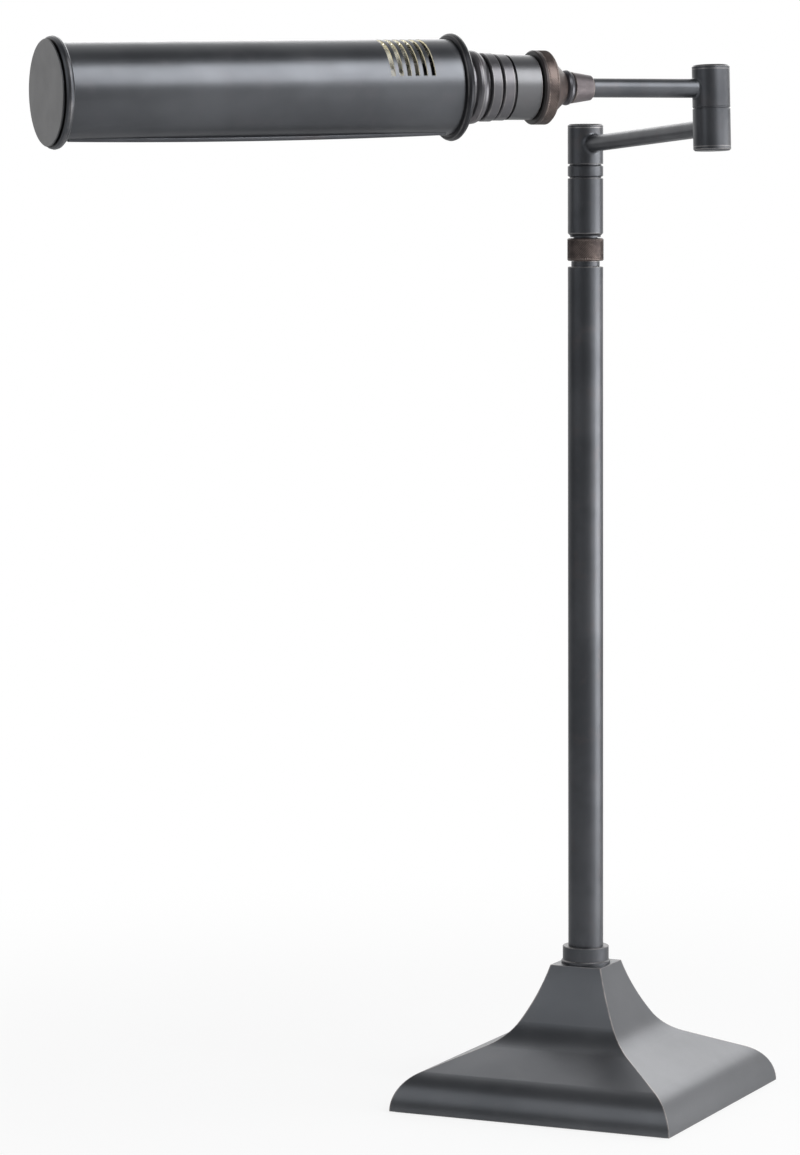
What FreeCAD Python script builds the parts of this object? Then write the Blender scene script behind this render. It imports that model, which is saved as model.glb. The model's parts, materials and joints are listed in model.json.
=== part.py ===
import FreeCAD, Part
import math
import os

import Sketcher
from FreeCAD import Placement, Rotation, Vector

# Swing-arm piano lamp, millimetres, +Z up.
# The origin is on the column's axis, on the underside of the felt. The base's sides lie along X and Y.

doc = FreeCAD.newDocument("piano_lamp")
sheet = doc.addObject("Spreadsheet::Sheet", "sizes")

SIZES = [
    # Gaps between pieces
    ("running_gap", 0.06),
    ("seat_gap", 0.02),
    ("face_gap", 0.3),
    ("cut_margin", 4.0),
    ("thread_reach", 1.0),
    # Base, a flared square: half its width at the foot and at the flat top
    ("base_half", 93.5),
    ("plateau_half", 17.0),
    ("base_height", 86.0),
    ("base_wall", 3.2),
    ("shoulder_radius", 25.7),
    ("shoulder_slope", 23.4),
    ("waist_radius", 34.0),
    ("waist_slope", 59.5),
    ("top_slope", 74.0),
    ("cavity_top_slope", 66.0),
    # Underside of the base
    ("felt_height", 0.8),
    ("felt_margin", 3.0),
    ("plate_height", 2.0),
    ("plate_gap", 0.4),
    ("weight_slab_half", 74.0),
    ("weight_slab_height", 15.0),
    ("weight_step_half", 46.0),
    ("weight_step_height", 9.0),
    ("weight_boss_radius", 13.0),
    ("weight_well_radius", 14.0),
    ("weight_well_height", 12.0),
    ("screw_radius", 2.0),
    ("screw_head_radius", 3.8),
    ("screw_head_height", 1.4),
    ("screw_length", 9.0),
    ("screw_spread", 58.0),
    # Cord inlet at the back
    ("inlet_height", 12.0),
    ("bush_radius", 5.5),
    ("bush_flange_radius", 8.0),
    ("bush_flange_height", 2.0),
    ("bush_length", 12.0),
    ("bush_bore_radius", 3.6),
    ("inlet_setback", 5.0),
    # Tie tube that clamps base, column and top bush
    ("tie_radius", 5.0),
    ("tie_bore_radius", 3.6),
    ("tie_drop", 12.0),
    ("washer_height", 1.5),
    ("tie_washer_radius", 11.0),
    ("nut_height", 5.0),
    ("nut_across", 16.0),
    # Column and its fittings
    ("column_radius", 11.0),
    ("column_wall", 1.2),
    ("collar_height", 11.0),
    ("collar_radius", 14.5),
    ("collar_lip_radius", 15.4),
    ("collar_lip_height", 2.4),
    ("collar_lip_bevel", 0.8),
    ("collar_floor", 2.5),
    ("column_top", 524.0),
    ("bush_ring_height", 7.2),
    ("bush_spigot", 16.0),
    ("neck_radius", 8.85),
    ("neck_height", 3.2),
    ("switch_core_radius", 7.5),
    ("switch_core_rise", 32.0),
    ("switch_ring_radius", 11.25),
    ("switch_ring_height", 14.3),
    ("switch_flutes", 44),
    ("switch_flute_depth", 0.45),
    ("ring_bevel", 0.6),
    ("sleeve_throat_radius", 9.5),
    ("sleeve_throat_height", 1.0),
    ("sleeve_bevel_height", 1.6),
    ("sleeve_length", 37.3),
    ("groove_radius", 9.8),
    ("groove_height", 0.7),
    ("edge_bevel", 0.35),
    ("swivel_ring_height", 7.2),
    ("head_length", 23.1),
    ("head_web", 6.4),
    ("head_cavity_radius", 8.5),
    ("cap_height", 2.8),
    ("cap_bevel", 0.9),
    ("cap_dome", 0.5),
    ("cap_spigot", 3.5),
    ("spindle_radius", 5.0),
    ("spindle_bore_radius", 3.2),
    ("spring_height", 1.4),
    ("spring_radius", 7.2),
    ("swivel_nut_height", 4.6),
    ("swivel_nut_across", 13.0),
    # Lower arm
    ("lower_arm_bearing", -42.8),
    ("lower_arm_rise", 2.84),
    ("lower_arm_drop", 10.5),
    ("lower_arm_length", 177.2),
    ("lower_arm_radius", 5.0),
    ("arm_wall", 1.3),
    # Elbow
    ("elbow_radius", 11.0),
    ("arm_spacing", 22.6),
    ("elbow_half_length", 25.3),
    ("elbow_web", 5.6),
    ("elbow_cavity_radius", 8.6),
    ("elbow_cap_height", 2.9),
    ("elbow_washer_height", 0.6),
    ("elbow_washer_radius", 10.6),
    ("elbow_spindle_radius", 4.5),
    ("elbow_spindle_bore_radius", 3.0),
    ("elbow_head_radius", 6.6),
    ("elbow_head_height", 2.0),
    ("elbow_nut_height", 4.2),
    ("elbow_nut_across", 12.0),
    # Upper arm, measured from the elbow's axis
    ("elbow_turn", 271.1),
    ("upper_arm_radius", 5.5),
    ("upper_arm_end", 84.0),
    ("ferrule_start", 77.8),
    ("ferrule_end", 91.0),
    ("ferrule_small_radius", 7.2),
    ("ferrule_large_radius", 9.0),
    ("ferrule_bevel", 0.7),
    ("bead_end", 96.2),
    ("bead_radius", 10.1),
    ("shade_spindle_radius", 4.5),
    ("shade_spindle_bore_radius", 3.0),
    ("shade_spindle_end", 108.0),
    # Socket, measured from the elbow's axis
    ("cone_small_radius", 9.2),
    ("cone_large_radius", 17.0),
    ("cone_end", 106.0),
    ("cone_web", 4.6),
    ("cone_rim", 1.0),
    ("cone_hollow_bevel", 3.0),
    ("shank_radius", 13.0),
    ("shank_bore_radius", 10.4),
    ("shank_end", 140.0),
    ("lock_ring_radius", 21.1),
    ("lock_ring_end", 115.7),
    ("lock_ring_bevel", 0.9),
    ("lock_ring_band", 2.2),
    ("lock_ring_flutes", 72),
    ("lock_ring_flute_depth", 0.45),
    ("cup_radius", 18.4),
    ("cup_end", 131.9),
    ("cup_bevel", 0.6),
    ("collar_groove_radius", 17.0),
    ("first_ring_radius", 18.8),
    ("second_ring_radius", 19.4),
    ("collar_ring_bevel", 0.7),
    ("collar_bulge_radius", 20.8),
    ("collar_bulge_curve", 5.0),
    ("first_ring_start", 133.1),
    ("first_ring_end", 140.1),
    ("second_ring_start", 141.3),
    ("second_ring_end", 147.9),
    ("bulge_middle", 153.7),
    ("throat_radius", 18.8),
    ("collar_mouth_radius", 22.4),
    ("collar_bore_radius", 11.0),
    ("collar_web", 4.0),
    ("collar_end", 162.7),
    ("shade_droop", 0.97),
    # Shade, measured along its own axis from the middle of its ring
    ("shade_roll", 32.0),
    ("ring_radius", 30.4),
    ("ring_round", 2.5),
    ("flange_back", -3.0),
    ("flange_plate", 1.6),
    ("flange_setback", 2.0),
    ("shade_radius", 27.1),
    ("shade_wall", 0.9),
    ("shade_start", 0.4),
    ("shade_length", 237.8),
    ("spigot_wall", 1.4),
    ("spigot_length", 5.0),
    ("opening_half_angle", 45.0),
    ("opening_margin", 6.5),
    ("hem_radius", 1.6),
    ("hem_bow", 1.5),
    ("vent_first", 21.6),
    ("vent_pitch", 4.9),
    ("vent_width", 2.6),
    ("vent_count", 6),
    ("vent_angle", 97.0),
    ("end_face_radius", 29.4),
    ("end_rim_radius", 31.0),
    ("end_rim_round", 2.8),
    ("end_face_step", 3.1),
    ("end_groove", 1.5),
    ("end_sheet", 1.6),
    ("end_lip", 0.5),
    # Lampholder and bulb
    ("nipple_radius", 5.0),
    ("nipple_bore_radius", 3.4),
    ("nipple_reach", 12.0),
    ("nipple_nut_across", 13.0),
    ("nipple_nut_height", 3.0),
    ("holder_radius", 14.0),
    ("holder_length", 24.0),
    ("holder_floor", 5.0),
    ("holder_bevel", 1.0),
    ("contact_radius", 3.0),
    ("contact_height", 2.0),
    ("contact_dome", 0.5),
    ("bulb_cap_radius", 8.4),
    ("bulb_cap_length", 25.0),
    ("bulb_cap_nose", 1.0),
    ("bulb_cap_taper", 2.0),
    ("bulb_radius", 14.0),
    ("bulb_neck_length", 12.0),
    ("bulb_end", 196.0),
]


class Size:
    """A number that remembers the sheet formula it comes from."""

    def __init__(self, value, formula):
        self.value = value
        self.formula = formula

    def joined(self, sign, other, value, swap=False):
        other_formula = other.formula if isinstance(other, Size) else repr(other)
        first, second = (other_formula, self.formula) if swap else (self.formula, other_formula)
        return Size(value, "(" + first + " " + sign + " " + second + ")")

    def __add__(self, other):
        return self.joined("+", other, self.value + number(other))

    def __radd__(self, other):
        return self.joined("+", other, other + self.value, swap=True)

    def __sub__(self, other):
        return self.joined("-", other, self.value - number(other))

    def __rsub__(self, other):
        return self.joined("-", other, other - self.value, swap=True)

    def __mul__(self, other):
        return self.joined("*", other, self.value * number(other))

    def __rmul__(self, other):
        return self.joined("*", other, other * self.value, swap=True)

    def __truediv__(self, other):
        return self.joined("/", other, self.value / number(other))

    def __neg__(self):
        return 0 - self


def number(size):
    return size.value if isinstance(size, Size) else size


def sine(angle):
    return Size(math.sin(math.radians(angle.value)), "sin(" + angle.formula + " * 1 deg)")


def cosine(angle):
    return Size(math.cos(math.radians(angle.value)), "cos(" + angle.formula + " * 1 deg)")


class Sheet:
    """The driving sizes, each a cell with its alias, read back as Size values."""

    def __init__(self, rows):
        for row, (alias, value) in enumerate(rows, start=1):
            sheet.set("A%d" % row, alias)
            sheet.set("B%d" % row, repr(value))
            sheet.setAlias("B%d" % row, alias)
            setattr(self, alias, Size(value, "sizes." + alias))


lamp = Sheet(SIZES)
doc.recompute()
pieces = []


def bind(item, prop, size):
    """Set a property from a size, through the sheet where the size has a formula."""
    setattr(item, prop, number(size))
    if isinstance(size, Size):
        item.setExpression(prop, size.formula)


def rounded(across, along, radius, first, last, steps):
    """Corners round a centre from one angle to another, in even chords."""
    corners = []
    for step in range(steps + 1):
        angle = math.radians(first + (last - first) * step / steps)
        cos, sin = round(math.cos(angle), 6), round(math.sin(angle), 6)
        corners.append((across + radius * cos, along + radius * sin))
    return corners


def left(radius):
    """The outline bends to the left from this corner to the next."""
    return radius, 1


def corner_point(corner):
    return Vector(number(corner[0]), number(corner[1]), 0)


def edge_between(corner, following):
    """A straight edge, or an arc of under a half circle, and which of its ends comes first."""
    start, end = corner_point(corner), corner_point(following)
    if len(corner) == 2:
        return Part.LineSegment(start, end), 1, 2
    radius, side = number(corner[2][0]), corner[2][1]
    chord = end - start
    rise = math.sqrt(max(radius ** 2 - chord.Length ** 2 / 4, 0))
    across = Vector(-chord.y, chord.x, 0).normalize()
    centre = (start + end) * 0.5 + across * (side * rise)
    first, last = (start, end) if side > 0 else (end, start)
    angles = [math.atan2(point.y - centre.y, point.x - centre.x) for point in (first, last)]
    circle = Part.Circle(centre, Vector(0, 0, 1), radius)
    arc = Part.ArcOfCircle(circle, angles[0], angles[1])
    return (arc, 1, 2) if side > 0 else (arc, 2, 1)


def hold(sketch, kind, *where, size):
    """One driving dimension of a sketch."""
    constraint = sketch.addConstraint(Sketcher.Constraint(kind, *where, number(size)))
    if isinstance(size, Size):
        sketch.setExpression("Constraints[%d]" % constraint, size.formula)


def draw(sketch, corners, closed=True):
    """Draw an outline whose corners are held at their sizes from the sketch's origin."""
    total = len(corners) if closed else len(corners) - 1
    ends = []
    for index in range(total):
        edge, first, last = edge_between(corners[index], corners[(index + 1) % len(corners)])
        sketch.addGeometry(edge, False)
        ends.append((first, last))
    for index in range(total):
        first, last = ends[index]
        hold(sketch, "DistanceX", -1, 1, index, first, size=corners[index][0])
        hold(sketch, "DistanceY", -1, 1, index, first, size=corners[index][1])
        if len(corners[index]) == 3:
            hold(sketch, "Radius", index, size=corners[index][2][0])
        if closed or index + 1 < total:
            following = (index + 1) % total
            start = ends[following][0]
            sketch.addConstraint(Sketcher.Constraint("Coincident", index, last, following, start))
    if not closed:
        hold(sketch, "DistanceX", -1, 1, total - 1, ends[-1][1], size=corners[-1][0])
        hold(sketch, "DistanceY", -1, 1, total - 1, ends[-1][1], size=corners[-1][1])


def new_body(label):
    body = doc.addObject("PartDesign::Body", label)
    body.Label = label
    return body


def keep(item, label, frame=Placement()):
    """Name a finished sub-part, put it in its place and list it for writing."""
    item.Label = label
    item.Placement = frame
    pieces.append(item)
    return item


def origin_feature(body, role):
    return next(item for item in body.Origin.OriginFeatures if item.Role == role)


def sketch_on(body, plane, corners, offset=Placement(), closed=True):
    sketch = body.newObject("Sketcher::SketchObject", body.Name + "_outline")
    sketch.AttachmentSupport = [(origin_feature(body, plane), "")]
    sketch.MapMode = "FlatFace"
    sketch.AttachmentOffset = offset
    draw(sketch, corners, closed)
    return sketch


def ring_sketch(body, radius, across=0, up=0, offset=Placement()):
    """A circle on the body's XY plane."""
    sketch = body.newObject("Sketcher::SketchObject", body.Name + "_circle")
    sketch.AttachmentSupport = [(origin_feature(body, "XY_Plane"), "")]
    sketch.MapMode = "FlatFace"
    sketch.AttachmentOffset = offset
    centre = Vector(number(across), number(up), 0)
    sketch.addGeometry(Part.Circle(centre, Vector(0, 0, 1), number(radius)), False)
    hold(sketch, "Radius", 0, size=radius)
    hold(sketch, "DistanceX", -1, 1, 0, 3, size=across)
    hold(sketch, "DistanceY", -1, 1, 0, 3, size=up)
    return sketch


def turn(body, corners):
    """Turn an outline of (radius, height) corners about the body's Z axis."""
    sketch = sketch_on(body, "XZ_Plane", corners)
    feature = body.newObject("PartDesign::Revolution", body.Name + "_turned")
    feature.Profile = sketch
    feature.ReferenceAxis = (sketch, ["V_Axis"])
    feature.Angle = 360
    body.Tip = feature
    return feature


def turned(label, corners, frame=Placement()):
    body = new_body(label)
    turn(body, corners)
    return keep(body, label, frame)


def cut_checked(body, feature):
    """Make a cut the body's tip and make sure that it took material away."""
    before = body.Shape.Volume
    body.Tip = feature
    doc.recompute()
    if body.Shape.Volume > before - 0.01:
        raise RuntimeError(feature.Name + " cuts nothing")
    return feature


def side_bore(body, radius, height, tilt=0.0, bearing=0.0):
    """Bore outwards from the body's axis at a height, its far end raised by the tilt."""
    doc.recompute()
    sketch = body.newObject("Sketcher::SketchObject", body.Name + "_bore")
    sketch.AttachmentSupport = [(origin_feature(body, "YZ_Plane"), "")]
    sketch.MapMode = "FlatFace"
    swing = Rotation(Vector(0, 1, 0), bearing)
    sketch.AttachmentOffset = Placement(Vector(0, number(height), 0),
                                        swing.multiply(Rotation(Vector(1, 0, 0), -tilt)))
    if isinstance(height, Size):
        sketch.setExpression("AttachmentOffset.Base.y", height.formula)
    sketch.addGeometry(Part.Circle(Vector(0, 0, 0), Vector(0, 0, 1), number(radius)), False)
    hold(sketch, "Radius", 0, size=radius)
    sketch.addConstraint(Sketcher.Constraint("Coincident", -1, 1, 0, 3))
    pocket = body.newObject("PartDesign::Pocket", body.Name + "_side")
    pocket.Profile = sketch
    pocket.Type = 1
    pocket.Reversed = True
    return cut_checked(body, pocket)


def flutes(body, count, radius, depth, bottom, top):
    """Cut upright V notches all round a knurled rim."""
    doc.recompute()
    offset = Placement(Vector(0, 0, number(bottom)), Rotation())
    notch = sketch_on(body, "XY_Plane", [
        (radius - depth, 0),
        (radius + depth, -2 * depth),
        (radius + depth, 2 * depth),
    ], offset)
    notch.setExpression("AttachmentOffset.Base.z", bottom.formula)
    pocket = body.newObject("PartDesign::Pocket", body.Name + "_notch")
    pocket.Profile = notch
    pocket.Reversed = True
    bind(pocket, "Length", top - bottom)
    cut_checked(body, pocket)
    pattern = body.newObject("PartDesign::PolarPattern", body.Name + "_knurl")
    pattern.Originals = [pocket]
    pattern.Axis = (origin_feature(body, "Z_Axis"), [""])
    pattern.Angle = 360
    bind(pattern, "Occurrences", count)
    body.Tip = pattern
    return pattern


def hex_nut(label, across, bore, bottom, top, frame=Placement()):
    """A hexagonal nut about the frame's Z axis."""
    body = new_body(label)
    corner = across / math.sqrt(3)
    flat = across / 2
    offset = Placement(Vector(0, 0, number(bottom)), Rotation())
    outline = [
        (corner, 0),
        (corner / 2, flat),
        (-corner / 2, flat),
        (-corner, 0),
        (-corner / 2, -flat),
        (corner / 2, -flat),
    ]
    sketch = sketch_on(body, "XY_Plane", outline, offset)
    sketch.setExpression("AttachmentOffset.Base.z", bottom.formula)
    pad = body.newObject("PartDesign::Pad", body.Name + "_pad")
    pad.Profile = sketch
    bind(pad, "Length", top - bottom)
    body.Tip = pad
    doc.recompute()
    pocket = body.newObject("PartDesign::Pocket", body.Name + "_bore")
    pocket.Profile = ring_sketch(body, bore)
    pocket.Type = 1
    pocket.Midplane = True
    cut_checked(body, pocket)
    return keep(body, label, frame)


def plain_ring(label, inner, outer, bottom, top, frame=Placement()):
    """A washer or plain tube."""
    return turned(label, [(inner, bottom), (outer, bottom), (outer, top), (inner, top)], frame)


# Frames of the post, the elbow, the upper arm and the shade

def frame_of(origin, axis, across):
    """A frame at the origin point with Z along the axis and X as near as possible to across."""
    up = Vector(axis).normalize()
    side = up.cross(across).normalize()
    return Placement(origin, Rotation(side.cross(up), side, up, "ZXY"))


def direction(bearing, rise):
    """A unit vector at a bearing in plan, raised by an angle, both in degrees."""
    plan, lift = math.radians(bearing), math.radians(rise)
    return Vector(math.cos(lift) * math.cos(plan), math.cos(lift) * math.sin(plan), math.sin(lift))


def turned_in(axis, start, angle):
    """The start direction turned about the axis by an angle in degrees."""
    return Rotation(axis, angle).multVec(start)


tie_top = lamp.column_top - lamp.tie_drop
neck_top = lamp.column_top + lamp.neck_height
core_top = lamp.column_top + lamp.switch_core_rise
switch_bottom = neck_top + lamp.face_gap
switch_top = switch_bottom + lamp.switch_ring_height
sleeve_bottom = switch_top + lamp.face_gap
sleeve_top = sleeve_bottom + lamp.sleeve_length
swivel_top = sleeve_top + lamp.swivel_ring_height
head_top = swivel_top + lamp.head_length
arm_height = head_top - lamp.lower_arm_drop

bearing = lamp.lower_arm_bearing.value
rise = lamp.lower_arm_rise.value
lower_run = direction(bearing, rise)
elbow_axis = direction(bearing + 180, 90 - rise)
lower_root = Vector(0, 0, arm_height.value)
lower_end = lower_root + lower_run * lamp.lower_arm_length.value
elbow_middle = lower_end + elbow_axis * (lamp.arm_spacing.value / 2)
upper_root = lower_end + elbow_axis * lamp.arm_spacing.value
upper_run = turned_in(elbow_axis, lower_run, lamp.elbow_turn.value)
droop_axis = upper_run.cross(elbow_axis)
shade_run = turned_in(droop_axis, upper_run, -lamp.shade_droop.value)
shade_root = upper_root + upper_run * lamp.collar_end.value - shade_run * lamp.flange_back.value
shade_down = turned_in(droop_axis, elbow_axis, -lamp.shade_droop.value) * -1
shade_open = turned_in(shade_run, shade_down, -lamp.shade_roll.value)

post_frame = Placement(Vector(0, 0, 0), Rotation(Vector(0, 0, 1), bearing))
lower_frame = frame_of(lower_root, lower_run, elbow_axis)
elbow_frame = frame_of(elbow_middle, elbow_axis, lower_run)
upper_elbow_frame = frame_of(elbow_middle, elbow_axis, upper_run)
upper_frame = frame_of(upper_root, upper_run, elbow_axis)
shade_frame = frame_of(shade_root, shade_run, shade_open)


# Base

shell_foot = lamp.felt_height


def flare_outline(inset, last_slope):
    """Half of the flared section, from the foot to the top, set in by the inset."""
    first, middle, top = lamp.shoulder_slope, lamp.waist_slope, lamp.top_slope
    bend, waist = lamp.shoulder_radius, lamp.waist_radius
    centre_x = lamp.base_half - bend
    shoulder_x = centre_x + bend * sine(first)
    shoulder_z = shell_foot + bend * cosine(first)
    gap_x = lamp.plateau_half - shoulder_x - waist * (sine(first) - sine(middle))
    gap_z = lamp.base_height - shoulder_z - waist * (cosine(first) - cosine(middle))
    span_x = sine(middle) - sine(top)
    span_z = cosine(middle) - cosine(top)
    scale = -cosine(first) * span_z - sine(first) * span_x
    run = (gap_x * span_z - gap_z * span_x) / scale
    sweep = (-cosine(first) * gap_z - sine(first) * gap_x) / scale
    waist_x = shoulder_x - run * cosine(first) + waist * sine(first)
    waist_z = shoulder_z + run * sine(first) + waist * cosine(first)
    sweep_x = waist_x + (sweep - waist) * sine(middle)
    sweep_z = waist_z + (sweep - waist) * cosine(middle)
    return [
        (lamp.base_half - inset, shell_foot, (bend - inset, 1)),
        (centre_x + (bend - inset) * sine(first), shell_foot + (bend - inset) * cosine(first)),
        (waist_x - (waist + inset) * sine(first), waist_z - (waist + inset) * cosine(first),
         (waist + inset, -1)),
        (waist_x - (waist + inset) * sine(middle), waist_z - (waist + inset) * cosine(middle),
         (sweep + inset, -1)),
        (sweep_x - (sweep + inset) * sine(last_slope), sweep_z - (sweep + inset) * cosine(last_slope)),
    ]


def mirrored_outline(half):
    """Close a half outline with its mirror image across the vertical axis."""
    other = []
    for index in range(len(half) - 1, -1, -1):
        corner = (-half[index][0], half[index][1])
        if index > 0 and len(half[index - 1]) == 3:
            corner += (half[index - 1][2],)
        other.append(corner)
    return half + other


def flared_solid(name, inset, last_slope):
    """The flare seen from the front and from the side, where the two runs overlap."""
    runs = []
    for side, quarter in (("front", 0), ("side", 90)):
        sketch = doc.addObject("Sketcher::SketchObject", name + "_" + side)
        draw(sketch, mirrored_outline(flare_outline(inset, last_slope)))
        sketch.Placement = Placement(Vector(0, 0, 0), Rotation(quarter, 0, 90))
        run = doc.addObject("Part::Extrusion", name + "_" + side + "_run")
        run.Base = sketch
        run.DirMode = "Normal"
        run.Solid = True
        run.Symmetric = True
        bind(run, "LengthFwd", 2 * (lamp.base_half - inset))
        runs.append(run)
    common = doc.addObject("Part::MultiCommon", name)
    common.Shapes = runs
    return common


def cylinder(name, radius, height, base, axis=Vector(0, 0, 1)):
    item = doc.addObject("Part::Cylinder", name)
    bind(item, "Radius", radius)
    bind(item, "Height", height)
    item.Placement = Placement(base, Rotation(Vector(0, 0, 1), axis))
    return item


def box(name, half, bottom, height):
    """A square block centred on the column's axis."""
    item = doc.addObject("Part::Box", name)
    bind(item, "Length", half * 2)
    bind(item, "Width", half * 2)
    bind(item, "Height", height)
    item.Placement = Placement(Vector(-half.value, -half.value, bottom.value), Rotation())
    return item


def cut(name, base, tools):
    """Cut the tools from the base."""
    item = doc.addObject("Part::Cut", name)
    item.Base = base
    item.Tool = fuse(name + "_tools", tools) if len(tools) > 1 else tools[0]
    return item


def fuse(name, items):
    item = doc.addObject("Part::MultiFuse", name)
    item.Shapes = items
    return item


BACK = Vector(0, 1, 0)
inlet_face = lamp.base_half - lamp.inlet_setback
inlet_start = Vector(0, (inlet_face - lamp.bush_length).value, lamp.inlet_height.value)
inlet_seat = Vector(0, inlet_face.value, lamp.inlet_height.value)

plateau_hole = lamp.tie_radius + lamp.seat_gap
cavity_top = flare_outline(lamp.base_wall, lamp.cavity_top_slope)[-1][1]
shell_tools = [
    flared_solid("base_cavity", lamp.base_wall, lamp.cavity_top_slope),
    cylinder("base_top_hole", plateau_hole, lamp.base_height, Vector(0, 0, lamp.felt_height.value)),
    cylinder("inlet_hole", lamp.bush_radius + lamp.seat_gap, lamp.bush_length + lamp.base_half,
             inlet_start, BACK),
    cylinder("inlet_flat", lamp.bush_flange_radius + lamp.face_gap, lamp.base_half, inlet_seat, BACK),
]
keep(cut("base_shell_solid", flared_solid("base_block", 0 * lamp.base_wall, lamp.top_slope), shell_tools),
     "base_shell")

plate_bottom = shell_foot
plate_top = plate_bottom + lamp.plate_height
plate_half = lamp.base_half - lamp.base_wall - lamp.plate_gap
slab_top = plate_top + lamp.weight_slab_height
step_top = slab_top + lamp.weight_step_height
well_top = plate_top + lamp.weight_well_height


def screw_places():
    spread = lamp.screw_spread.value
    return [(x, y) for x in (-spread, spread) for y in (-spread, spread)]


def plate_with_holes():
    """The square bottom plate with a countersunk place for each screw."""
    tools = []
    for index, (x, y) in enumerate(screw_places()):
        tools.append(cylinder("plate_hole_%d" % index, lamp.screw_radius + lamp.seat_gap,
                              lamp.plate_height, Vector(x, y, plate_bottom.value)))
        tools.append(cylinder("plate_sink_%d" % index, lamp.screw_head_radius + lamp.seat_gap,
                              lamp.screw_head_height, Vector(x, y, plate_bottom.value)))
    return cut("bottom_plate_solid", box("plate_block", plate_half, plate_bottom, lamp.plate_height), tools)


def weight_casting():
    """A stepped block with a centre boss, a well for the nut and blind holes for the screws."""
    blocks = [
        box("weight_slab", lamp.weight_slab_half, plate_top, lamp.weight_slab_height),
        box("weight_step", lamp.weight_step_half, slab_top, lamp.weight_step_height),
        cylinder("weight_boss", lamp.weight_boss_radius, cavity_top - step_top,
                 Vector(0, 0, step_top.value)),
    ]
    tools = [
        cylinder("weight_bore", plateau_hole, lamp.base_height, Vector(0, 0, plate_top.value)),
        cylinder("weight_well", lamp.weight_well_radius, lamp.weight_well_height,
                 Vector(0, 0, plate_top.value)),
    ]
    depth = lamp.screw_length - (lamp.plate_height - lamp.screw_head_height)
    for index, (x, y) in enumerate(screw_places()):
        tools.append(cylinder("weight_tap_%d" % index, lamp.screw_radius + lamp.seat_gap, depth,
                              Vector(x, y, plate_top.value)))
    return cut("base_weight_solid", fuse("weight_blocks", blocks), tools)


def plate_screw_set():
    """Four pan-head screws, each one solid, up through the plate into the weight."""
    screws = []
    for index, (x, y) in enumerate(screw_places()):
        head = cylinder("screw_head_%d" % index, lamp.screw_head_radius, lamp.screw_head_height,
                        Vector(x, y, plate_bottom.value))
        shank = cylinder("screw_shank_%d" % index, lamp.screw_radius,
                         lamp.screw_head_height + lamp.screw_length - lamp.seat_gap,
                         Vector(x, y, plate_bottom.value))
        screws.append(fuse("plate_screw_%d" % index, [head, shank]))
    group = doc.addObject("Part::Compound", "plate_screw_group")
    group.Links = screws
    return group


keep(plate_with_holes(), "bottom_plate")
keep(weight_casting(), "base_weight")
keep(plate_screw_set(), "plate_screws")

felt = box("felt_block", lamp.base_half - lamp.felt_margin, 0 * lamp.felt_height, lamp.felt_height)
keep(felt, "felt_pad", felt.Placement)

bush_frame = Placement(inlet_start, Rotation(Vector(0, 0, 1), BACK))
turned("cable_bush", [
    (lamp.bush_bore_radius, 0),
    (lamp.bush_radius, 0),
    (lamp.bush_radius, lamp.bush_length),
    (lamp.bush_flange_radius, lamp.bush_length),
    (lamp.bush_flange_radius, lamp.bush_length + lamp.bush_flange_height / 2),
    (lamp.bush_radius, lamp.bush_length + lamp.bush_flange_height),
    (lamp.bush_bore_radius, lamp.bush_length + lamp.bush_flange_height),
], bush_frame)

washer_bottom = well_top - lamp.washer_height
tie_nut_bottom = washer_bottom - lamp.nut_height
plain_ring("tie_tube", lamp.tie_bore_radius, lamp.tie_radius, tie_nut_bottom - lamp.thread_reach, tie_top)
plain_ring("tie_washer", lamp.tie_radius + lamp.seat_gap, lamp.tie_washer_radius, washer_bottom, well_top)
hex_nut("tie_nut", lamp.nut_across, lamp.tie_radius + lamp.seat_gap, tie_nut_bottom, washer_bottom)


# Column

collar_floor_top = lamp.base_height + lamp.collar_floor
collar_top = lamp.base_height + lamp.collar_height
column_bore = lamp.column_radius - lamp.column_wall
ring_bottom = lamp.column_top - lamp.bush_ring_height

turned("column_collar", [
    (lamp.tie_radius + lamp.seat_gap, lamp.base_height),
    (lamp.collar_lip_radius, lamp.base_height),
    (lamp.collar_lip_radius, lamp.base_height + lamp.collar_lip_height - lamp.collar_lip_bevel),
    (lamp.collar_lip_radius - lamp.collar_lip_bevel, lamp.base_height + lamp.collar_lip_height),
    (lamp.collar_radius, lamp.base_height + lamp.collar_lip_height),
    (lamp.collar_radius, collar_top - lamp.edge_bevel),
    (lamp.collar_radius - lamp.edge_bevel, collar_top),
    (lamp.column_radius + lamp.seat_gap, collar_top),
    (lamp.column_radius + lamp.seat_gap, collar_floor_top),
    (lamp.tie_radius + lamp.seat_gap, collar_floor_top),
])

plain_ring("column_tube", column_bore, lamp.column_radius, collar_floor_top, ring_bottom)

turned("column_top_bush", [
    (lamp.tie_radius + lamp.seat_gap, ring_bottom - lamp.bush_spigot),
    (column_bore - lamp.seat_gap, ring_bottom - lamp.bush_spigot),
    (column_bore - lamp.seat_gap, ring_bottom),
    (lamp.column_radius, ring_bottom),
    (lamp.column_radius, lamp.column_top - lamp.edge_bevel),
    (lamp.column_radius - lamp.edge_bevel, lamp.column_top),
    (lamp.switch_core_radius + lamp.seat_gap, lamp.column_top),
    (lamp.switch_core_radius + lamp.seat_gap, tie_top + lamp.seat_gap),
    (lamp.tie_radius + lamp.seat_gap, tie_top + lamp.seat_gap),
])

turned("switch_core", [
    (lamp.tie_bore_radius, tie_top + lamp.seat_gap),
    (lamp.switch_core_radius, tie_top + lamp.seat_gap),
    (lamp.switch_core_radius, lamp.column_top),
    (lamp.neck_radius, lamp.column_top),
    (lamp.neck_radius, neck_top),
    (lamp.switch_core_radius, neck_top),
    (lamp.switch_core_radius, core_top),
    (lamp.tie_bore_radius, core_top),
])

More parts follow.
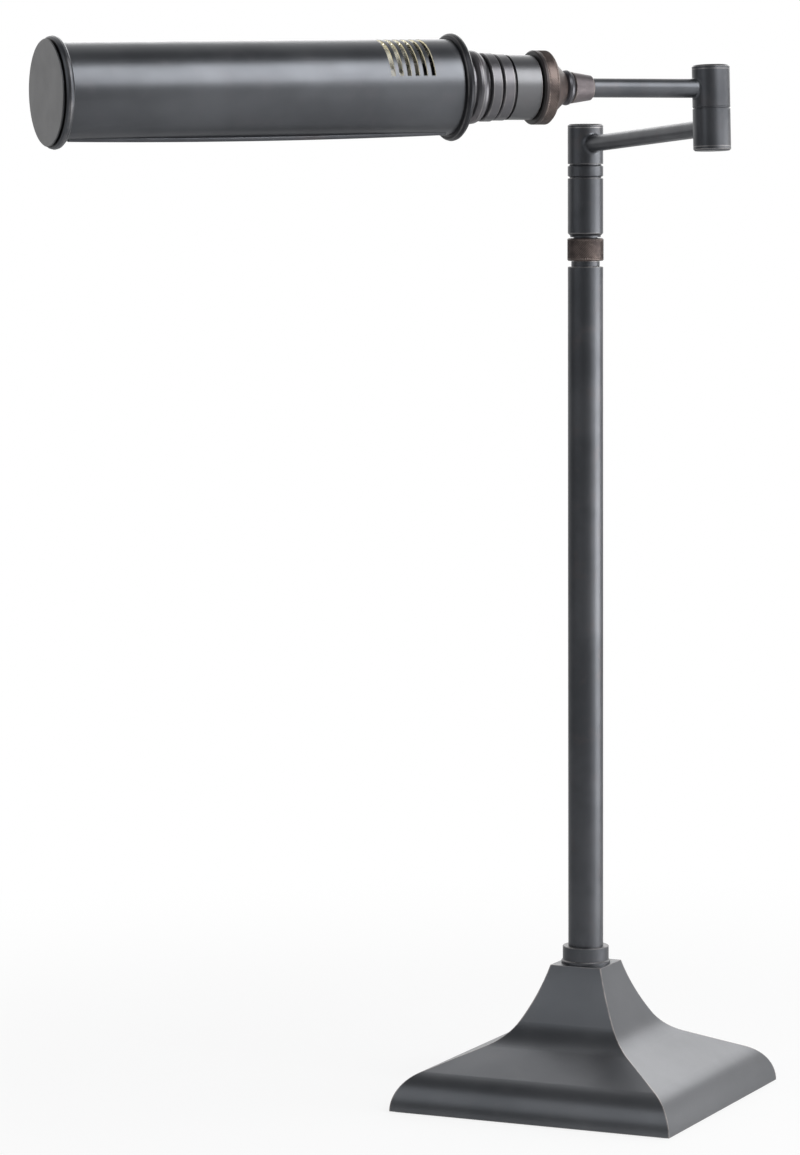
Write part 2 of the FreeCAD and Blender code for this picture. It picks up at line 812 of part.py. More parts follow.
# Knurled switch ring, free to turn on the core
switch_ring = turned("switch_ring", [
    (lamp.switch_core_radius + lamp.running_gap, switch_bottom),
    (lamp.switch_ring_radius - lamp.ring_bevel, switch_bottom),
    (lamp.switch_ring_radius, switch_bottom + lamp.ring_bevel),
    (lamp.switch_ring_radius, switch_top - lamp.ring_bevel),
    (lamp.switch_ring_radius - lamp.ring_bevel, switch_top),
    (lamp.switch_core_radius + lamp.running_gap, switch_top),
])
flutes(switch_ring, lamp.switch_flutes, lamp.switch_ring_radius, lamp.switch_flute_depth,
       switch_bottom + lamp.ring_bevel * 2, switch_top - lamp.ring_bevel * 2)

sleeve_throat_top = sleeve_bottom + lamp.sleeve_throat_height
sleeve_bevel_top = sleeve_throat_top + lamp.sleeve_bevel_height
turned("post_sleeve", [
    (lamp.switch_core_radius + lamp.seat_gap, sleeve_bottom),
    (lamp.sleeve_throat_radius, sleeve_bottom),
    (lamp.sleeve_throat_radius, sleeve_throat_top),
    (lamp.column_radius, sleeve_bevel_top),
    (lamp.column_radius, sleeve_top - lamp.groove_height - lamp.edge_bevel),
    (lamp.column_radius - lamp.edge_bevel, sleeve_top - lamp.groove_height),
    (lamp.groove_radius, sleeve_top - lamp.groove_height),
    (lamp.groove_radius, sleeve_top),
    (lamp.spindle_radius + lamp.seat_gap, sleeve_top),
    (lamp.spindle_radius + lamp.seat_gap, core_top),
    (lamp.switch_core_radius + lamp.seat_gap, core_top),
])


# Swivel at the top of the post

turned("swivel_ring", [
    (lamp.spindle_radius + lamp.seat_gap, sleeve_top),
    (lamp.groove_radius, sleeve_top),
    (lamp.column_radius - lamp.edge_bevel, sleeve_top + lamp.edge_bevel),
    (lamp.column_radius, sleeve_top + 2 * lamp.edge_bevel),
    (lamp.column_radius, swivel_top - 2 * lamp.edge_bevel),
    (lamp.column_radius - lamp.edge_bevel, swivel_top - lamp.edge_bevel),
    (lamp.groove_radius, swivel_top),
    (lamp.spindle_radius + lamp.seat_gap, swivel_top),
])

web_top = swivel_top + lamp.head_web
spring_bottom = web_top + lamp.running_gap
spring_top = spring_bottom + lamp.spring_height
swivel_nut_top = spring_top + lamp.swivel_nut_height
plain_ring("swivel_spindle", lamp.spindle_bore_radius, lamp.spindle_radius, core_top,
           swivel_nut_top + lamp.thread_reach)
plain_ring("swivel_spring", lamp.spindle_radius + lamp.seat_gap, lamp.spring_radius, spring_bottom,
           spring_top)
hex_nut("swivel_nut", lamp.swivel_nut_across, lamp.spindle_radius + lamp.seat_gap, spring_top,
        swivel_nut_top)

swivel_head = turned("swivel_head", [
    (lamp.spindle_radius + lamp.running_gap, swivel_top),
    (lamp.groove_radius, swivel_top),
    (lamp.groove_radius, swivel_top + lamp.groove_height),
    (lamp.column_radius - lamp.edge_bevel, swivel_top + lamp.groove_height),
    (lamp.column_radius, swivel_top + lamp.groove_height + lamp.edge_bevel),
    (lamp.column_radius, head_top),
    (lamp.head_cavity_radius, head_top),
    (lamp.head_cavity_radius, web_top),
    (lamp.spindle_radius + lamp.running_gap, web_top),
], post_frame)
side_bore(swivel_head, lamp.lower_arm_radius + lamp.seat_gap, arm_height, rise)

turned("head_cap", [
    (0, head_top - lamp.cap_spigot),
    (lamp.head_cavity_radius - lamp.seat_gap, head_top - lamp.cap_spigot),
    (lamp.head_cavity_radius - lamp.seat_gap, head_top),
    (lamp.column_radius, head_top),
    (lamp.column_radius, head_top + lamp.cap_height - lamp.cap_bevel - lamp.cap_dome),
    (lamp.column_radius - lamp.cap_bevel, head_top + lamp.cap_height - lamp.cap_dome),
    (0, head_top + lamp.cap_height),
])


# Lower arm and elbow

arm_start = lamp.head_cavity_radius + lamp.face_gap
elbow_wall_start = lamp.elbow_cavity_radius + lamp.face_gap
plain_ring("lower_arm", lamp.lower_arm_radius - lamp.arm_wall, lamp.lower_arm_radius, arm_start,
           lamp.lower_arm_length - elbow_wall_start, lower_frame)

face = lamp.elbow_washer_height / 2
web = face + lamp.elbow_web
shoulder = lamp.elbow_half_length - lamp.elbow_cap_height


def housing(bore, sign):
    """One half of the elbow, from its face by the parting line out to its cap."""
    return [
        (bore, sign * face),
        (lamp.elbow_radius - lamp.edge_bevel, sign * face),
        (lamp.elbow_radius, sign * (face + lamp.edge_bevel)),
        (lamp.elbow_radius, sign * shoulder),
        (lamp.elbow_cavity_radius, sign * shoulder),
        (lamp.elbow_cavity_radius, sign * web),
        (bore, sign * web),
    ]


def housing_cap(sign):
    """A turned plug with a bevelled, slightly domed face."""
    return [
        (0, sign * (shoulder - lamp.cap_spigot)),
        (lamp.elbow_cavity_radius - lamp.seat_gap, sign * (shoulder - lamp.cap_spigot)),
        (lamp.elbow_cavity_radius - lamp.seat_gap, sign * shoulder),
        (lamp.elbow_radius, sign * shoulder),
        (lamp.elbow_radius, sign * (lamp.elbow_half_length - lamp.cap_bevel - lamp.cap_dome)),
        (lamp.elbow_radius - lamp.cap_bevel, sign * (lamp.elbow_half_length - lamp.cap_dome)),
        (0, sign * lamp.elbow_half_length),
    ]


half_spacing = lamp.arm_spacing / 2
elbow_lower = turned("elbow_lower", housing(lamp.elbow_spindle_radius + lamp.seat_gap, -1), elbow_frame)
side_bore(elbow_lower, lamp.lower_arm_radius + lamp.seat_gap, -half_spacing, bearing=180.0)
turned("elbow_lower_cap", housing_cap(-1), elbow_frame)

elbow_upper = turned("elbow_upper", housing(lamp.elbow_spindle_radius + lamp.running_gap, 1),
                     upper_elbow_frame)
side_bore(elbow_upper, lamp.upper_arm_radius + lamp.seat_gap, half_spacing)
turned("elbow_upper_cap", housing_cap(1), upper_elbow_frame)

plain_ring("elbow_washer", lamp.elbow_spindle_radius + lamp.running_gap, lamp.elbow_washer_radius,
           -face, face, elbow_frame)
elbow_spring_start = web + lamp.running_gap
elbow_spring_top = elbow_spring_start + lamp.spring_height
elbow_nut_top = elbow_spring_top + lamp.elbow_nut_height
elbow_spindle_top = elbow_nut_top + lamp.thread_reach
turned("elbow_spindle", [
    (lamp.elbow_spindle_bore_radius, -web - lamp.elbow_head_height),
    (lamp.elbow_head_radius, -web - lamp.elbow_head_height),
    (lamp.elbow_head_radius, -web),
    (lamp.elbow_spindle_radius, -web),
    (lamp.elbow_spindle_radius, elbow_spindle_top),
    (lamp.elbow_spindle_bore_radius, elbow_spindle_top),
], elbow_frame)
plain_ring("elbow_spring", lamp.elbow_spindle_radius + lamp.seat_gap, lamp.elbow_head_radius,
           elbow_spring_start, elbow_spring_top, elbow_frame)
hex_nut("elbow_nut", lamp.elbow_nut_across, lamp.elbow_spindle_radius + lamp.seat_gap,
        elbow_spring_top, elbow_nut_top, elbow_frame)


# Upper arm

plain_ring("upper_arm", lamp.upper_arm_radius - lamp.arm_wall, lamp.upper_arm_radius,
           elbow_wall_start, lamp.upper_arm_end, upper_frame)

turned("arm_ferrule", [
    (lamp.upper_arm_radius + lamp.seat_gap, lamp.ferrule_start),
    (lamp.ferrule_small_radius - lamp.ferrule_bevel, lamp.ferrule_start),
    (lamp.ferrule_small_radius, lamp.ferrule_start + lamp.ferrule_bevel),
    (lamp.ferrule_large_radius, lamp.ferrule_end - lamp.ferrule_bevel),
    (lamp.ferrule_large_radius - lamp.ferrule_bevel, lamp.ferrule_end),
    (lamp.shade_spindle_radius + lamp.seat_gap, lamp.ferrule_end),
    (lamp.shade_spindle_radius + lamp.seat_gap, lamp.upper_arm_end + lamp.seat_gap),
    (lamp.upper_arm_radius + lamp.seat_gap, lamp.upper_arm_end + lamp.seat_gap),
], upper_frame)

bead_middle = (lamp.ferrule_end + lamp.bead_end) / 2
bead_half = (lamp.bead_end - lamp.ferrule_end) / 2
turned("ferrule_bead", [
    (lamp.shade_spindle_radius + lamp.seat_gap, lamp.ferrule_end),
    *rounded(lamp.bead_radius - bead_half, bead_middle, bead_half, -90, 90, 6),
    (lamp.shade_spindle_radius + lamp.seat_gap, lamp.bead_end),
], upper_frame)

cone_start = lamp.bead_end
cone_web_end = cone_start + lamp.cone_web
shade_spring_start = cone_web_end + lamp.running_gap
shade_spring_end = shade_spring_start + lamp.spring_height
plain_ring("shade_spindle", lamp.shade_spindle_bore_radius, lamp.shade_spindle_radius,
           lamp.upper_arm_end + lamp.seat_gap, lamp.shade_spindle_end, upper_frame)
plain_ring("shade_spring", lamp.shade_spindle_radius + lamp.seat_gap, lamp.elbow_head_radius,
           shade_spring_start, shade_spring_end, upper_frame)
hex_nut("shade_nut", lamp.elbow_nut_across, lamp.shade_spindle_radius + lamp.seat_gap,
        shade_spring_end, lamp.shade_spindle_end - lamp.thread_reach, upper_frame)


# Socket, which rolls with the shade about the upper arm

turned("socket_cone", [
    (lamp.shade_spindle_radius + lamp.running_gap, cone_start),
    (lamp.cone_small_radius, cone_start),
    (lamp.cone_large_radius, lamp.cone_end - lamp.cone_rim),
    (lamp.cone_large_radius, lamp.cone_end),
    (lamp.shank_radius, lamp.cone_end),
    (lamp.shank_radius, lamp.shank_end),
    (lamp.shank_bore_radius, lamp.shank_end),
    (lamp.shank_bore_radius, cone_web_end + lamp.cone_hollow_bevel),
    (lamp.shank_bore_radius - lamp.cone_hollow_bevel, cone_web_end),
    (lamp.shade_spindle_radius + lamp.running_gap, cone_web_end),
], upper_frame)

lock_start = lamp.cone_end + lamp.face_gap / 3
lock_ring = turned("lock_ring", [
    (lamp.shank_radius + lamp.running_gap, lock_start),
    (lamp.lock_ring_radius - lamp.lock_ring_bevel, lock_start),
    (lamp.lock_ring_radius, lock_start + lamp.lock_ring_bevel),
    (lamp.lock_ring_radius, lamp.lock_ring_end - lamp.lock_ring_bevel),
    (lamp.lock_ring_radius - lamp.lock_ring_bevel, lamp.lock_ring_end),
    (lamp.shank_radius + lamp.running_gap, lamp.lock_ring_end),
], upper_frame)
flutes(lock_ring, lamp.lock_ring_flutes, lamp.lock_ring_radius, lamp.lock_ring_flute_depth,
       lock_start + lamp.lock_ring_bevel * 1.5, lamp.lock_ring_end - lamp.lock_ring_band)

cup_start = lamp.lock_ring_end + lamp.face_gap
turned("socket_cup", [
    (lamp.shank_radius + lamp.seat_gap, cup_start),
    (lamp.cup_radius - lamp.cup_bevel, cup_start),
    (lamp.cup_radius, cup_start + lamp.cup_bevel),
    (lamp.cup_radius, lamp.cup_end),
    (lamp.shank_radius + lamp.seat_gap, lamp.cup_end),
], upper_frame)

# Turned collar with two rings and a bulge, cut square to the shade, which droops a little
collar_body = new_body("collar_body")
collar_cavity = lamp.collar_end - lamp.collar_web
collar_reach = lamp.collar_end + lamp.thread_reach
throat_round = lamp.collar_mouth_radius - lamp.throat_radius


def collar_band(radius, start, end):
    """A bevelled band between two grooves of the collar."""
    bevel = lamp.collar_ring_bevel
    return [
        (lamp.collar_groove_radius, start),
        (radius - bevel, start),
        (radius, start + bevel),
        (radius, end - bevel),
        (radius - bevel, end),
        (lamp.collar_groove_radius, end),
    ]


bulge = rounded(lamp.collar_bulge_radius - lamp.collar_bulge_curve, lamp.bulge_middle, lamp.collar_bulge_curve,
                -53, 53, 6)
turn(collar_body, [
    (lamp.shank_radius + lamp.seat_gap, lamp.cup_end),
    (lamp.collar_groove_radius, lamp.cup_end),
    *collar_band(lamp.first_ring_radius, lamp.first_ring_start, lamp.first_ring_end),
    *collar_band(lamp.second_ring_radius, lamp.second_ring_start, lamp.second_ring_end),
    (lamp.collar_groove_radius, bulge[0][1]),
    *bulge,
    (lamp.throat_radius, lamp.collar_end - throat_round),
    *rounded(lamp.collar_mouth_radius, lamp.collar_end - throat_round, throat_round, 150, 90, 2),
    (lamp.collar_mouth_radius, collar_reach),
    (lamp.nipple_radius + lamp.face_gap, collar_reach),
    (lamp.nipple_radius + lamp.face_gap, collar_cavity),
    (lamp.collar_bore_radius, collar_cavity),
    (lamp.collar_bore_radius, lamp.shank_end + lamp.seat_gap),
    (lamp.shank_radius + lamp.seat_gap, lamp.shank_end + lamp.seat_gap),
])
collar_body.Placement = upper_frame
seat_radius = lamp.collar_mouth_radius * 2
shade_face = upper_root + upper_run * lamp.collar_end.value
trim = cylinder("collar_trim", seat_radius, lamp.collar_web + lamp.cut_margin, shade_face, shade_run)
keep(cut("turned_collar_solid", collar_body, [trim]), "turned_collar")


# Shade

shade_bore = lamp.shade_radius - lamp.shade_wall
shade_end = lamp.shade_start + lamp.shade_length
plate_front = lamp.flange_back + lamp.flange_plate
ring_centre = lamp.ring_radius - lamp.ring_round
turned("shade_flange", [
    (lamp.nipple_radius + lamp.seat_gap, lamp.flange_back),
    (ring_centre - lamp.flange_setback, lamp.flange_back),
    *rounded(ring_centre, 0 * lamp.ring_round, lamp.ring_round, -90, 90, 6),
    (lamp.shade_radius + lamp.seat_gap, lamp.ring_round),
    (lamp.shade_radius + lamp.seat_gap, lamp.shade_start),
    (shade_bore - lamp.seat_gap, lamp.shade_start),
    (shade_bore - lamp.seat_gap, lamp.shade_start + lamp.spigot_length),
    (shade_bore - lamp.seat_gap - lamp.spigot_wall, lamp.shade_start + lamp.spigot_length),
    (shade_bore - lamp.seat_gap - lamp.spigot_wall, plate_front),
    (lamp.nipple_radius + lamp.seat_gap, plate_front),
], shade_frame)


def shade_tube():
    """Thin tube, open along its underside, with hemmed edges and a row of vents on its back."""
    body = new_body("shade_tube")
    turn(body, [
        (shade_bore, lamp.shade_start),
        (lamp.shade_radius, lamp.shade_start),
        (lamp.shade_radius, shade_end),
        (shade_bore, shade_end),
    ])
    doc.recompute()
    reach = lamp.shade_radius + lamp.cut_margin
    inside = shade_bore - lamp.cut_margin
    opening_start = lamp.shade_start + lamp.opening_margin
    opening_end = shade_end - lamp.opening_margin
    opening = body.newObject("PartDesign::Groove", "shade_opening")
    opening.Profile = sketch_on(body, "XZ_Plane", [
        (inside, opening_start),
        (reach, opening_start),
        (reach, opening_end),
        (inside, opening_end),
    ])
    opening.ReferenceAxis = (origin_feature(body, "Z_Axis"), [""])
    opening.Midplane = True
    bind(opening, "Angle", lamp.opening_half_angle * 2)
    cut_checked(body, opening)

    vent = body.newObject("PartDesign::Groove", "shade_vent")
    vent.Profile = sketch_on(body, "XZ_Plane", [
        (-reach, lamp.vent_first - lamp.vent_width / 2),
        (-inside, lamp.vent_first - lamp.vent_width / 2),
        (-inside, lamp.vent_first + lamp.vent_width / 2),
        (-reach, lamp.vent_first + lamp.vent_width / 2),
    ])
    vent.ReferenceAxis = (origin_feature(body, "Z_Axis"), [""])
    vent.Midplane = True
    bind(vent, "Angle", lamp.vent_angle)
    cut_checked(body, vent)
    vents = body.newObject("PartDesign::LinearPattern", "shade_vents")
    vents.Originals = [vent]
    vents.Direction = (origin_feature(body, "Z_Axis"), [""])
    bind(vents, "Length", lamp.vent_pitch * (lamp.vent_count - 1))
    bind(vents, "Occurrences", lamp.vent_count)
    body.Tip = vents
    doc.recompute()

    hem_centre = lamp.shade_radius - lamp.hem_radius / 2
    span = opening_end - opening_start
    bow_radius = (span * span / 4 + lamp.hem_bow * lamp.hem_bow) / (2 * lamp.hem_bow)
    edge_turn = Placement(Vector(0, 0, 0), Rotation(Vector(0, 1, 0), lamp.opening_half_angle.value))
    path = sketch_on(body, "XZ_Plane", [
        (hem_centre, opening_start, left(bow_radius)),
        (hem_centre, opening_end),
    ], edge_turn, closed=False)
    lift = Placement(Vector(0, 0, opening_start.value), Rotation())
    section = sketch_on(body, "XY_Plane", rounded(hem_centre * cosine(lamp.opening_half_angle),
                                                  hem_centre * sine(lamp.opening_half_angle),
                                                  lamp.hem_radius, 0, 315, 7), lift)
    hem = body.newObject("PartDesign::AdditivePipe", "shade_hem")
    hem.Profile = section
    hem.Spine = (path, ["Edge1"])
    body.Tip = hem
    doc.recompute()
    hems = body.newObject("PartDesign::Mirrored", "shade_hems")
    hems.Originals = [hem]
    hems.MirrorPlane = (origin_feature(body, "XZ_Plane"), [""])
    body.Tip = hems
    return keep(body, "shade_tube", shade_frame)


shade_tube()

end_face = shade_end + lamp.end_face_step
rim_centre = lamp.end_rim_radius - lamp.end_rim_round
rim_middle = end_face - lamp.end_groove - lamp.end_rim_round
turned("shade_end_cap", [
    (0, end_face - lamp.end_sheet),
    (shade_bore - lamp.seat_gap - lamp.spigot_wall, end_face - lamp.end_sheet),
    (shade_bore - lamp.seat_gap - lamp.spigot_wall, shade_end - lamp.spigot_length),
    (shade_bore - lamp.seat_gap, shade_end - lamp.spigot_length),
    (shade_bore - lamp.seat_gap, shade_end),
    (lamp.shade_radius + lamp.seat_gap, shade_end),
    (lamp.shade_radius + lamp.seat_gap, rim_middle - lamp.end_rim_round),
    *rounded(rim_centre, rim_middle, lamp.end_rim_round, -90, 90, 6),
    (rim_centre - lamp.end_lip, rim_middle + lamp.end_rim_round),
    (rim_centre - lamp.end_lip, end_face - lamp.end_lip),
    (lamp.end_face_radius, end_face - lamp.end_lip),
    (lamp.end_face_radius - lamp.end_lip, end_face),
    (0, end_face),
], shade_frame)


# Lampholder and bulb

holder_start = plate_front
holder_end = holder_start + lamp.holder_length
nipple_start = lamp.flange_back - lamp.nipple_reach
nipple_end = holder_start + lamp.holder_floor - lamp.holder_bevel
plain_ring("lampholder_nipple", lamp.nipple_bore_radius, lamp.nipple_radius, nipple_start, nipple_end,
           shade_frame)
nut_seat = lamp.flange_back - lamp.collar_web - lamp.face_gap * 2
hex_nut("nipple_nut", lamp.nipple_nut_across, lamp.nipple_radius + lamp.seat_gap,
        nut_seat - lamp.nipple_nut_height, nut_seat, shade_frame)

turned("lampholder", [
    (0, nipple_end + lamp.seat_gap),
    (lamp.nipple_radius + lamp.seat_gap, nipple_end + lamp.seat_gap),
    (lamp.nipple_radius + lamp.seat_gap, holder_start),
    (lamp.holder_radius - lamp.holder_bevel, holder_start),
    (lamp.holder_radius, holder_start + lamp.holder_bevel),
    (lamp.holder_radius, holder_end - lamp.holder_bevel),
    (lamp.holder_radius - lamp.holder_bevel, holder_end),
    (lamp.bulb_cap_radius + lamp.face_gap, holder_end),
    (lamp.bulb_cap_radius + lamp.face_gap, holder_start + lamp.holder_floor),
    (0, holder_start + lamp.holder_floor),
], shade_frame)

contact_start = holder_start + lamp.holder_floor
contact_end = contact_start + lamp.contact_height
turned("centre_contact", [
    (0, contact_start),
    (lamp.contact_radius, contact_start),
    (lamp.contact_radius, contact_end - lamp.contact_dome),
    (0, contact_end),
], shade_frame)

cap_end = contact_end + lamp.bulb_cap_length
turned("bulb_cap", [
    (0, contact_end),
    (lamp.contact_radius, contact_end),
    (lamp.contact_radius, contact_end + lamp.bulb_cap_nose),
    (lamp.bulb_cap_radius, contact_end + lamp.bulb_cap_nose + lamp.bulb_cap_taper),
    (lamp.bulb_cap_radius, cap_end),
    (0, cap_end),
], shade_frame)

neck_end = cap_end + lamp.bulb_neck_length
turned("bulb_glass", [
    (0, cap_end),
    (lamp.bulb_cap_radius, cap_end),
    (lamp.bulb_radius, neck_end),
    *rounded(0 * lamp.bulb_radius, lamp.bulb_end - lamp.bulb_radius, lamp.bulb_radius, 0, 90, 5),
], shade_frame)


# Check and write

doc.recompute()
faults = []
for item in doc.Objects:
    if "Invalid" in item.State or "Error" in item.State:
        faults.append(item.Name)
for item in pieces:
    if item.Shape.isNull() or not item.Shape.isValid() or not item.Shape.Solids:
        faults.append(item.Label)
if faults:
    raise RuntimeError("failed: " + ", ".join(faults))

os.makedirs("parts", exist_ok=True)
for item in pieces:
    item.Shape.exportStep("parts/" + item.Label + ".step")


def shown(vector):
    return "(%.5f, %.5f, %.5f)" % (vector.x / 1000, vector.y / 1000, vector.z / 1000)


def shown_unit(vector):
    return "(%.6f, %.6f, %.6f)" % (vector.x, vector.y, vector.z)


print("pieces", len(pieces))
print("elbow joint at", shown(elbow_middle), "axis", shown_unit(elbow_axis))
print("roll joint at", shown(upper_root + upper_run * lamp.bead_end.value), "axis", shown_unit(upper_run))
print("shade root", shown(shade_root), "run", shown_unit(shade_run), "open", shown_unit(shade_open))
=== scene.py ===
import json
import math

import bpy
from mathutils import Matrix, Vector


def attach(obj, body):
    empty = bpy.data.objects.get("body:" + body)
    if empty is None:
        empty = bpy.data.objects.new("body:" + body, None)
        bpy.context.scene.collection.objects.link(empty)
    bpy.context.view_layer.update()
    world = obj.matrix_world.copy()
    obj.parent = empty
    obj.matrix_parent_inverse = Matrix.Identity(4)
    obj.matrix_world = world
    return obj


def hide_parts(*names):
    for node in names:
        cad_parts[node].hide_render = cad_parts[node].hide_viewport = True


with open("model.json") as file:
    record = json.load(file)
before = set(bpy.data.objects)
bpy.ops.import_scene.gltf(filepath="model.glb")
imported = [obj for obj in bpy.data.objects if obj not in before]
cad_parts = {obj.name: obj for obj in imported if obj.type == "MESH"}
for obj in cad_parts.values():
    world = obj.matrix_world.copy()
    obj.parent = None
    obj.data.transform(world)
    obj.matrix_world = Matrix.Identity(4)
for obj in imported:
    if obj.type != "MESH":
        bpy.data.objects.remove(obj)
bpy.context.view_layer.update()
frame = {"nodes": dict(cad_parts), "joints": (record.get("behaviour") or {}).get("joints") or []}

MM = 0.001
UP = Vector((0, 0, 1))


# Places on the lamp, from its joints and from distances along its arms

ARM_SPACING = 22.6 * MM
COLLAR_END = 162.7 * MM
FLANGE_THICKNESS = 3.0 * MM
SHADE_DROOP = 0.97
SHADE_ROLL = 32.0


def turned_about(axis, vector, degrees):
    return Matrix.Rotation(math.radians(degrees), 3, axis) @ vector


def place_on(origin, axis, across):
    """A frame at a point with Z along the axis and X as near as possible to across."""
    side = axis.cross(across).normalized()
    turn = Matrix((side.cross(axis), side, axis)).transposed()
    return Matrix.Translation(origin) @ turn.to_4x4()


joints = {joint["name"]: joint for joint in frame["joints"]}
elbow_middle = Vector(joints["elbow_swivel"]["pos_m"])
elbow_axis = Vector(joints["elbow_swivel"]["axis"]).normalized()
upper_run = Vector(joints["shade_roll"]["axis"]).normalized()
lower_run = (UP - elbow_axis * UP.dot(elbow_axis)).normalized()
lower_end = elbow_middle - elbow_axis * (ARM_SPACING / 2)
lower_root = lower_end - lower_run * (lower_end.x / lower_run.x)
upper_root = elbow_middle + elbow_axis * (ARM_SPACING / 2)
droop_axis = upper_run.cross(elbow_axis).normalized()
shade_run = turned_about(droop_axis, upper_run, -SHADE_DROOP)
shade_root = upper_root + upper_run * COLLAR_END + shade_run * FLANGE_THICKNESS
shade_down = -turned_about(droop_axis, elbow_axis, -SHADE_DROOP)
shade_open = turned_about(shade_run, shade_down, -SHADE_ROLL)

post_place = place_on(Vector((0, 0, 0)), UP, Vector((lower_run.x, lower_run.y, 0)))
lower_place = place_on(lower_root, lower_run, elbow_axis)
lower_end_place = place_on(lower_end, -lower_run, elbow_axis)
elbow_place = place_on(elbow_middle, elbow_axis, lower_run)
upper_place = place_on(upper_root, upper_run, elbow_axis)
shade_place = place_on(shade_root, shade_run, shade_open)


# Node materials

class Wire:
    """A number or colour on its way through a material; sums on numbers add Math nodes."""

    def __init__(self, patch, socket):
        self.patch = patch
        self.socket = socket

    def __add__(self, other):
        return self.patch.maths("ADD", self, other)

    __radd__ = __add__

    def __sub__(self, other):
        return self.patch.maths("SUBTRACT", self, other)

    def __rsub__(self, other):
        return self.patch.maths("SUBTRACT", other, self)

    def __mul__(self, other):
        return self.patch.maths("MULTIPLY", self, other)

    __rmul__ = __mul__

    def size(self):
        return self.patch.maths("ABSOLUTE", self)

    def at_least(self, other):
        return self.patch.maths("MAXIMUM", self, other)

    def between(self, low, high):
        """0 at low and 1 at high, with soft ends; low may be the larger."""
        return self.patch.node("ShaderNodeMapRange", {"interpolation_type": "SMOOTHSTEP"},
                               {"Value": self, "From Min": low, "From Max": high})

    def over(self, start, end):
        """0 at one distance and 1 at another, both in millimetres."""
        return self.between(start * MM, end * MM)


class Patch:
    """The nodes of a material or of the world."""

    def __init__(self, owner):
        owner.use_nodes = True
        self.tree = owner.node_tree

    def put(self, socket, value):
        if isinstance(value, Wire):
            self.tree.links.new(value.socket, socket)
        elif socket.type == "RGBA" and len(value) == 3:
            socket.default_value = (*value, 1)
        else:
            socket.default_value = value

    def node(self, kind, settings=None, inputs=None, output=0):
        made = self.tree.nodes.new(kind)
        for name, value in (settings or {}).items():
            setattr(made, name, value)
        for name, value in (inputs or {}).items():
            self.put(made.inputs[name], value)
        return Wire(self, made.outputs[output])

    def maths(self, operation, *values):
        return self.node("ShaderNodeMath", {"operation": operation}, dict(enumerate(values)))

    def blend(self, amount, first, second):
        return self.node("ShaderNodeMix", {"data_type": "RGBA"},
                         {0: amount, 6: first, 7: second}, output=2)

    def mix_surfaces(self, amount, first, second):
        return self.node("ShaderNodeMixShader", inputs={0: amount, 1: first, 2: second})

    def ray(self, fact):
        return self.node("ShaderNodeLightPath", output=fact)

    def looked_at(self):
        """1 for rays straight from the camera or through glass."""
        return self.ray("Is Camera Ray").at_least(self.ray("Is Transmission Ray"))


class Finish(Patch):
    """A material in the making."""

    def __init__(self, name, **surface):
        self.material = bpy.data.materials.new(name)
        super().__init__(self.material)
        self.shader = self.tree.nodes["Principled BSDF"]
        self.paint(**surface)

    def paint(self, **surface):
        """Set sockets of the surface, named with underscores for spaces."""
        for name, value in surface.items():
            self.put(self.shader.inputs[name.replace("_", " ").title()], value)

    def point(self, place=Matrix.Identity(4)):
        """Where the surface is, in a frame of the lamp."""
        where = self.node("ShaderNodeTexCoord", output="Object")
        return self.node("ShaderNodeMapping", {"vector_type": "TEXTURE"}, {
            "Vector": where, "Location": place.translation, "Rotation": place.to_euler()})

    def parts(self, vector):
        return [self.node("ShaderNodeSeparateXYZ", inputs={0: vector}, output=index)
                for index in range(3)]

    def radius(self, across, side):
        return self.maths("SQRT", across * across + side * side)

    def stretched(self, vector, across, along):
        return self.node("ShaderNodeVectorMath", {"operation": "MULTIPLY"},
                         {0: vector, 1: (across, across, along)})

    def noise(self, vector, scale, detail=2.0, roughness=0.5):
        return self.node("ShaderNodeTexNoise", inputs={
            "Vector": vector, "Scale": scale, "Detail": detail, "Roughness": roughness})

    def bump(self, height, depth):
        """Raise the surface by a height of 0 to 1 times a depth in millimetres."""
        self.paint(normal=self.node("ShaderNodeBump", inputs={
            "Height": height, "Distance": depth * MM, "Strength": 1.0}))


def dress(finish, *nodes):
    """Give CAD nodes a finish."""
    for node in nodes:
        for slot in frame["nodes"][node].material_slots:
            slot.material = finish.material


def edge_wear(along, edges, width):
    """1 on the edges at these places along a piece, and 0 from a width away."""
    worn, *others = [(along - edge * MM).size().over(width, width / 3) for edge in edges]
    for line in others:
        worn = worn.at_least(line)
    return worn


# Dark patinas: each has a deep tone, a usual tone and the cast of its clouds

DARK = ((0.064, 0.067, 0.074), (0.086, 0.089, 0.097), (0.096, 0.085, 0.087))
BEAD = ((0.075, 0.070, 0.078), (0.086, 0.089, 0.097), (0.110, 0.098, 0.104))
CUP = ((0.096, 0.097, 0.102), (0.112, 0.113, 0.118), (0.110, 0.106, 0.110))
COLLAR = ((0.088, 0.086, 0.092), (0.112, 0.110, 0.118), (0.165, 0.146, 0.152))
# The flange's tones are painted shade: darker than the patina, standing for the shadow and dark
# reflection on the ring's face.
FLANGE_PAINTED_SHADE = ((0.022, 0.022, 0.025), (0.034, 0.035, 0.039), (0.045, 0.042, 0.045))
RUBBED_EDGE = (0.26, 0.25, 0.25)
PATINA_EDGE_WIDTH = 0.45


